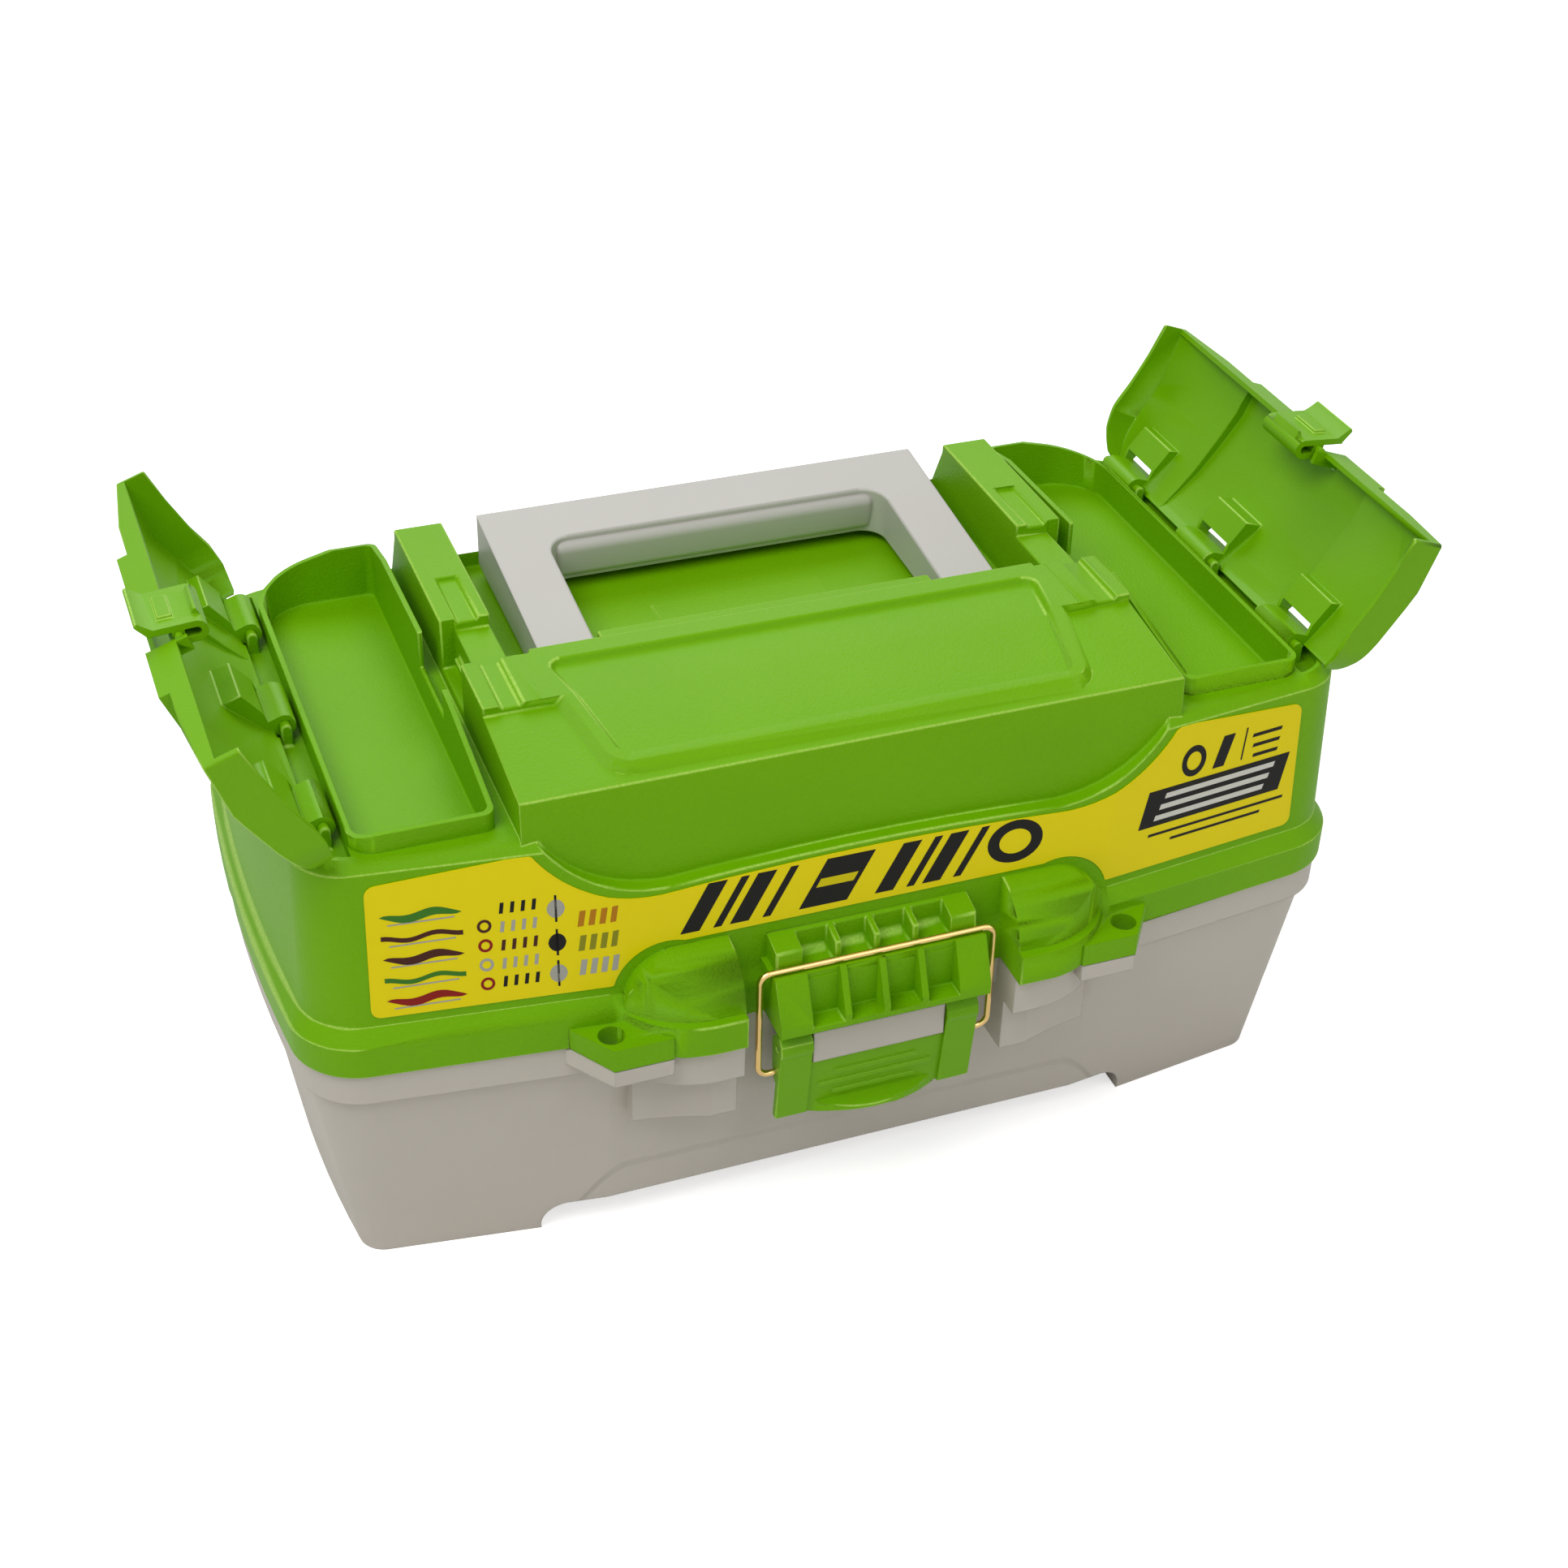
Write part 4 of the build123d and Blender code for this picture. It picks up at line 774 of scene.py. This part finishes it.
class TACKLE_OT_lid(bpy.types.Operator):
    """Rounds the lid shell: wide soft shoulders outside, small radii inside"""

    bl_idname = "tackle.lid"
    bl_label = "Lid shell"

    def execute(self, context):
        sizes = context.scene.tackle_sizes
        deck_front_edge = 2.0 * MM
        keeper_end_edge = 3.0 * MM
        # places on the lid in mm
        side_wall, front_wall, back_wall = 180, -86, 108
        ridge_low, ridge_high = 109, 122
        shoulder_low, shoulder_high = 178, 186.5
        deck_half, deck_front, deck_low = 125, -84.5, 186
        bulge_half, bulge_front = 90, -104
        dome_inner, dome_outer, dome_front, dome_low = 45, 108, -101, 113.5
        keeper_half, keeper_end = 41, 26

        def domed(at):
            return at.y < dome_front and at.z > dome_low and dome_inner < abs(at.x) < dome_outer

        def on_long_line(at, along):
            """The ridge over the skirt and the shoulder under the deck, where they run round the outside."""
            level = abs(along.z) < 0.3
            on_ridge = ridge_low < at.z < ridge_high
            on_shoulder = shoulder_low < at.z < shoulder_high
            outside = abs(at.x) > side_wall or at.y < front_wall or at.y > back_wall
            among_bulges = on_ridge and abs(at.x) < bulge_half and at.y < bulge_front
            return level and (on_ridge or on_shoulder) and outside and not among_bulges

        def wish(at, along):
            if on_long_line(at, along):
                return sizes.shoulder
            if at.y < deck_front and at.z > deck_low and abs(at.x) < deck_half:
                return deck_front_edge
            if abs(at.x) < keeper_half and at.y < bulge_front:
                return keeper_end_edge if abs(at.x) > keeper_end else sizes.shell_edge
            return 0.0 if domed(at) else sizes.shell_edge

        rounded_copy(
            "lid_shell", "lid_moulding", wish, "lid", "Green polypropylene", domed=domed
        )
        return {"FINISHED"}


class TACKLE_OT_side_lids(bpy.types.Operator):
    """Rounds the two side lids and their clips"""

    bl_idname = "tackle.side_lids"
    bl_label = "Side lids and clips"

    def execute(self, context):
        wish = even(context.scene.tackle_sizes.small_edge)
        for side in ("left", "right"):
            for source, name, body in (
                (side + "_side_lid", side + "_lid_moulding", side + "_top_lid"),
                (side + "_lid_clip", side + "_clip_moulding", side + "_clip"),
            ):
                rounded_copy(source, name, wish, body, "Green small mouldings")
        return {"FINISHED"}


class TACKLE_OT_latch(bpy.types.Operator):
    """Rounds the latch lever"""

    bl_idname = "tackle.latch"
    bl_label = "Latch lever"

    def execute(self, context):
        wish = even(context.scene.tackle_sizes.small_edge)
        rounded_copy("latch_lever", "lever_moulding", wish, "lever", "Green small mouldings")
        return {"FINISHED"}


class TACKLE_OT_handle(bpy.types.Operator):
    """Rounds the handle and adds the fuller roll where the fingers go"""

    bl_idname = "tackle.handle"
    bl_label = "Handle"

    def execute(self, context):
        sizes = context.scene.tackle_sizes
        roll_place = Vector((0, 70.6, 194.5)) * MM
        roll_size = Vector((131, 7.2, 15)) * MM
        roll_tilt = math.radians(7)
        rounded_copy(
            "carry_handle",
            "handle_moulding",
            even(sizes.handle_edge),
            "handle",
            "Handle polypropylene",
            segments=4,
        )
        bpy.ops.object.select_all(action="DESELECT")
        bpy.ops.mesh.primitive_cube_add(size=1.0, location=roll_place, rotation=(roll_tilt, 0, 0))
        roll = context.active_object
        roll.name = "handle_finger_roll"
        roll.scale = roll_size
        bpy.ops.object.transform_apply(location=True, rotation=True, scale=True)
        round_off = roll.modifiers.new("round", "BEVEL")
        round_off.width = sizes.roll_edge
        round_off.segments = 6
        bpy.ops.object.modifier_apply(modifier="round")
        bpy.ops.object.shade_smooth_by_angle(angle=math.radians(50))
        wear(roll, "Handle polypropylene")
        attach(roll, "handle")
        return {"FINISHED"}


def printed_mark(x, z, width, height, ink, lean=0.0, climb=0.0, wave=0.0, turns=1.0, leaf=False):
    """One printed shape in front of the label: a bar that may lean, climb, wave or taper to points."""
    straight_steps = max(2, min(24, int(width / 2)))
    curved_steps = 16
    steps = curved_steps if wave or leaf else straight_steps
    bpy.ops.object.select_all(action="DESELECT")
    bpy.ops.mesh.primitive_grid_add(x_subdivisions=steps, y_subdivisions=2, size=1.0)
    mark = bpy.context.active_object
    for vertex in mark.data.vertices:
        across, up = 2 * vertex.co.x, vertex.co.y
        thin = max(1 - across * across, 0.0) ** 0.6 if leaf else 1.0
        rise = wave * math.sin(math.pi * turns * across)
        side = x + across * width / 2 + lean * up * height
        level = z + up * height * thin + rise + climb * across * width / 2
        vertex.co = (side * MM, PRINT_START_Y, level * MM)
    mark.data.materials.append(finish_of(ink))
    return mark


def printed_ring(x, z, radius, band, ink, squash=1.0):
    """One printed ring in front of the label."""
    bpy.ops.object.select_all(action="DESELECT")
    middle = (x * MM, PRINT_START_Y, z * MM)
    bpy.ops.mesh.primitive_circle_add(
        vertices=32, radius=radius * MM, location=middle, rotation=(math.pi / 2, 0, 0)
    )
    ring = bpy.context.active_object
    ring.scale.x = squash
    bpy.ops.object.transform_apply(location=True, rotation=True, scale=True)
    bpy.ops.object.mode_set(mode="EDIT")
    bpy.ops.mesh.select_all(action="SELECT")
    bpy.ops.mesh.extrude_edges_move()
    inner = (radius - band) / radius
    bpy.ops.transform.resize(value=(inner, inner, inner), center_override=middle)
    bpy.ops.object.mode_set(mode="OBJECT")
    ring.data.materials.append(finish_of(ink))
    return ring


def tackle_field():
    """The left field: rows of small leaves, dashes and rings in the inks of the label."""
    made = []
    for index, ink in enumerate(("Green ink", "Brown ink", "Brown ink", "Green ink", "Red ink")):
        z = 162.0 - 8.6 * index
        is_leaf = index % 2 == 0
        height = 3.4 if is_leaf else 1.9
        made.append(printed_mark(-157, z, 27, height, ink, climb=0.02, wave=0.9, turns=1.5, leaf=is_leaf))
        made.append(printed_mark(-157, z - 2.6, 22, 0.6, "Grey ink", climb=0.02))
    for index, ink in enumerate(("Brown ink", "Red ink", "Grey ink", "Red ink")):
        made.append(printed_ring(-136.5, 154.0 - 8.0 * index, 2.7, 1.1, ink, 0.9))
    for row, ink in enumerate(("Black ink", "Grey ink", "Brown ink", "Grey ink", "Black ink")):
        for column in range(4):
            made.append(printed_mark(-130.5 + 3.6 * column, 160.5 - 7.6 * row, 1.3, 4.4, ink, lean=0.12))
    for z, ink in ((157.5, "Grey ink"), (143.5, "Black ink"), (130.5, "Grey ink")):
        made.append(printed_mark(-112.5, z, 6.2, 7.4, ink, leaf=True))
        made.append(printed_mark(-112.5, z, 0.8, 11.0, "Black ink"))
    for row, ink in enumerate(("Orange ink", "Olive ink", "Grey ink")):
        for column in range(4):
            made.append(printed_mark(-104.0 + 3.7 * column, 152.0 - 10.2 * row, 2.1, 6.4, ink, lean=0.15))
    return made


def bold_band():
    """The middle: a bold black row of leaning bars and a ring."""
    lean = 0.55
    made = []
    for x, width in ((-61, 7), (-51, 3), (-43, 7), (-33, 3), (-12, 18), (11, 7), (21, 3), (29, 7), (39, 3)):
        made.append(printed_mark(x, 147.0, width, 19.0, "Black ink", lean))
    made.append(printed_mark(-12, 147.0, 14.0, 3.4, "Yellow ink", lean))
    made.append(printed_ring(56, 147.5, 9.0, 3.8, "Black ink", 1.2))
    return made


def corner_plate():
    """The right: a large ring and bar over a leaning black plate with pale lines."""
    made = [
        printed_ring(128.0, 163.5, 6.6, 2.7, "Black ink", 0.8),
        printed_mark(141.0, 164.0, 5.0, 13.0, "Black ink", 0.3),
        printed_mark(150.0, 164.5, 0.7, 13.5, "Black ink", 0.1),
    ]
    for index in range(3):
        made.append(printed_mark(160.0, 167.0 - 4.4 * index, 13.0 - index, 1.5, "Black ink", 0.3))
        made.append(printed_mark(141.0 - 2.0 * index, 151.6 - 4.4 * index, 48.0, 2.2, "Pale ink", 0.3))
    made.append(printed_mark(139.0, 147.2, 62.0, 15.6, "Black ink", 0.22))
    for z, width in ((135.6, 60.0), (131.8, 40.0)):
        made.append(printed_mark(141.0, z, width, 1.2, "Black ink", 0.3))
    return made


def laid_on_label(marks, name, lift):
    """Joins printed shapes and lays them on the label, the lift in front of its film."""
    bpy.ops.object.select_all(action="DESELECT")
    for mark in marks:
        mark.select_set(True)
    bpy.context.view_layer.objects.active = marks[0]
    bpy.ops.object.join()
    layer = bpy.context.active_object
    bpy.ops.object.transform_apply(location=True, rotation=True, scale=True)
    layer.name = name
    wrap = layer.modifiers.new("wrap", "SHRINKWRAP")
    wrap.target = NODES["front_label"]
    wrap.wrap_method = "PROJECT"
    wrap.use_project_y = True
    wrap.use_positive_direction = True
    bpy.ops.object.modifier_apply(modifier="wrap")
    for vertex in layer.data.vertices:
        vertex.co.y -= lift
    missed = [vertex.co / MM for vertex in layer.data.vertices if vertex.co.y < LABEL_FRONT_Y]
    if missed:
        raise RuntimeError("print beside the label at " + str(missed[0]))
    turned = [face for face in layer.data.polygons if face.normal.y > 0]
    for face in turned:
        face.flip()
    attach(layer, "lid")


class TACKLE_OT_label_print(bpy.types.Operator):
    """Prints generic motifs on the label, in its own inks"""

    bl_idname = "tackle.label_print"
    bl_label = "Label print"

    def execute(self, context):
        corner = 3.5 * MM

        def wish(at, along):
            return corner if abs(along.y) > 0.6 else 0.0

        rounded_copy("front_label", "label_film", wish, "lid", "Yellow film", segments=4)
        marks = tackle_field() + bold_band() + corner_plate()
        over_the_rest = {"Pale ink", "Yellow ink"}
        top = [mark for mark in marks if mark.data.materials[0].name in over_the_rest]
        under = [mark for mark in marks if mark not in top]
        laid_on_label(under, "label_print", 0.05 * MM)
        laid_on_label(top, "label_print_top", 0.08 * MM)
        return {"FINISHED"}


class TACKLE_PT_panel(bpy.types.Panel):
    """Lists the steps of the tackle box"""

    bl_idname = "TACKLE_PT_panel"
    bl_label = "Tackle box"
    bl_space_type = "VIEW_3D"
    bl_region_type = "UI"
    bl_category = "Tackle box"

    def draw(self, context):
        for step in STEPS:
            self.layout.operator(step.bl_idname)
        for group in (context.scene.tackle_sizes, context.scene.tackle_colours):
            for name in group.bl_rna.properties.keys():
                if name not in {"rna_type", "name"}:
                    self.layout.prop(group, name)


STEPS = (
    TACKLE_OT_finishes,
    TACKLE_OT_lid,
    TACKLE_OT_side_lids,
    TACKLE_OT_latch,
    TACKLE_OT_handle,
    TACKLE_OT_label_print,
    TACKLE_OT_stage,
)
CLASSES = (TackleSizes, TackleColours) + STEPS + (TACKLE_PT_panel,)


def register():
    for cls in CLASSES:
        bpy.utils.register_class(cls)
    bpy.types.Scene.tackle_sizes = bpy.props.PointerProperty(type=TackleSizes)
    bpy.types.Scene.tackle_colours = bpy.props.PointerProperty(type=TackleColours)


def unregister():
    del bpy.types.Scene.tackle_colours
    del bpy.types.Scene.tackle_sizes
    for cls in reversed(CLASSES):
        bpy.utils.unregister_class(cls)


def main():
    register()
    bpy.ops.tackle.finishes()
    bpy.ops.tackle.lid()
    bpy.ops.tackle.side_lids()
    bpy.ops.tackle.latch()
    bpy.ops.tackle.handle()
    bpy.ops.tackle.label_print()
    bpy.ops.tackle.stage()


if __name__ == "__main__":
    main()
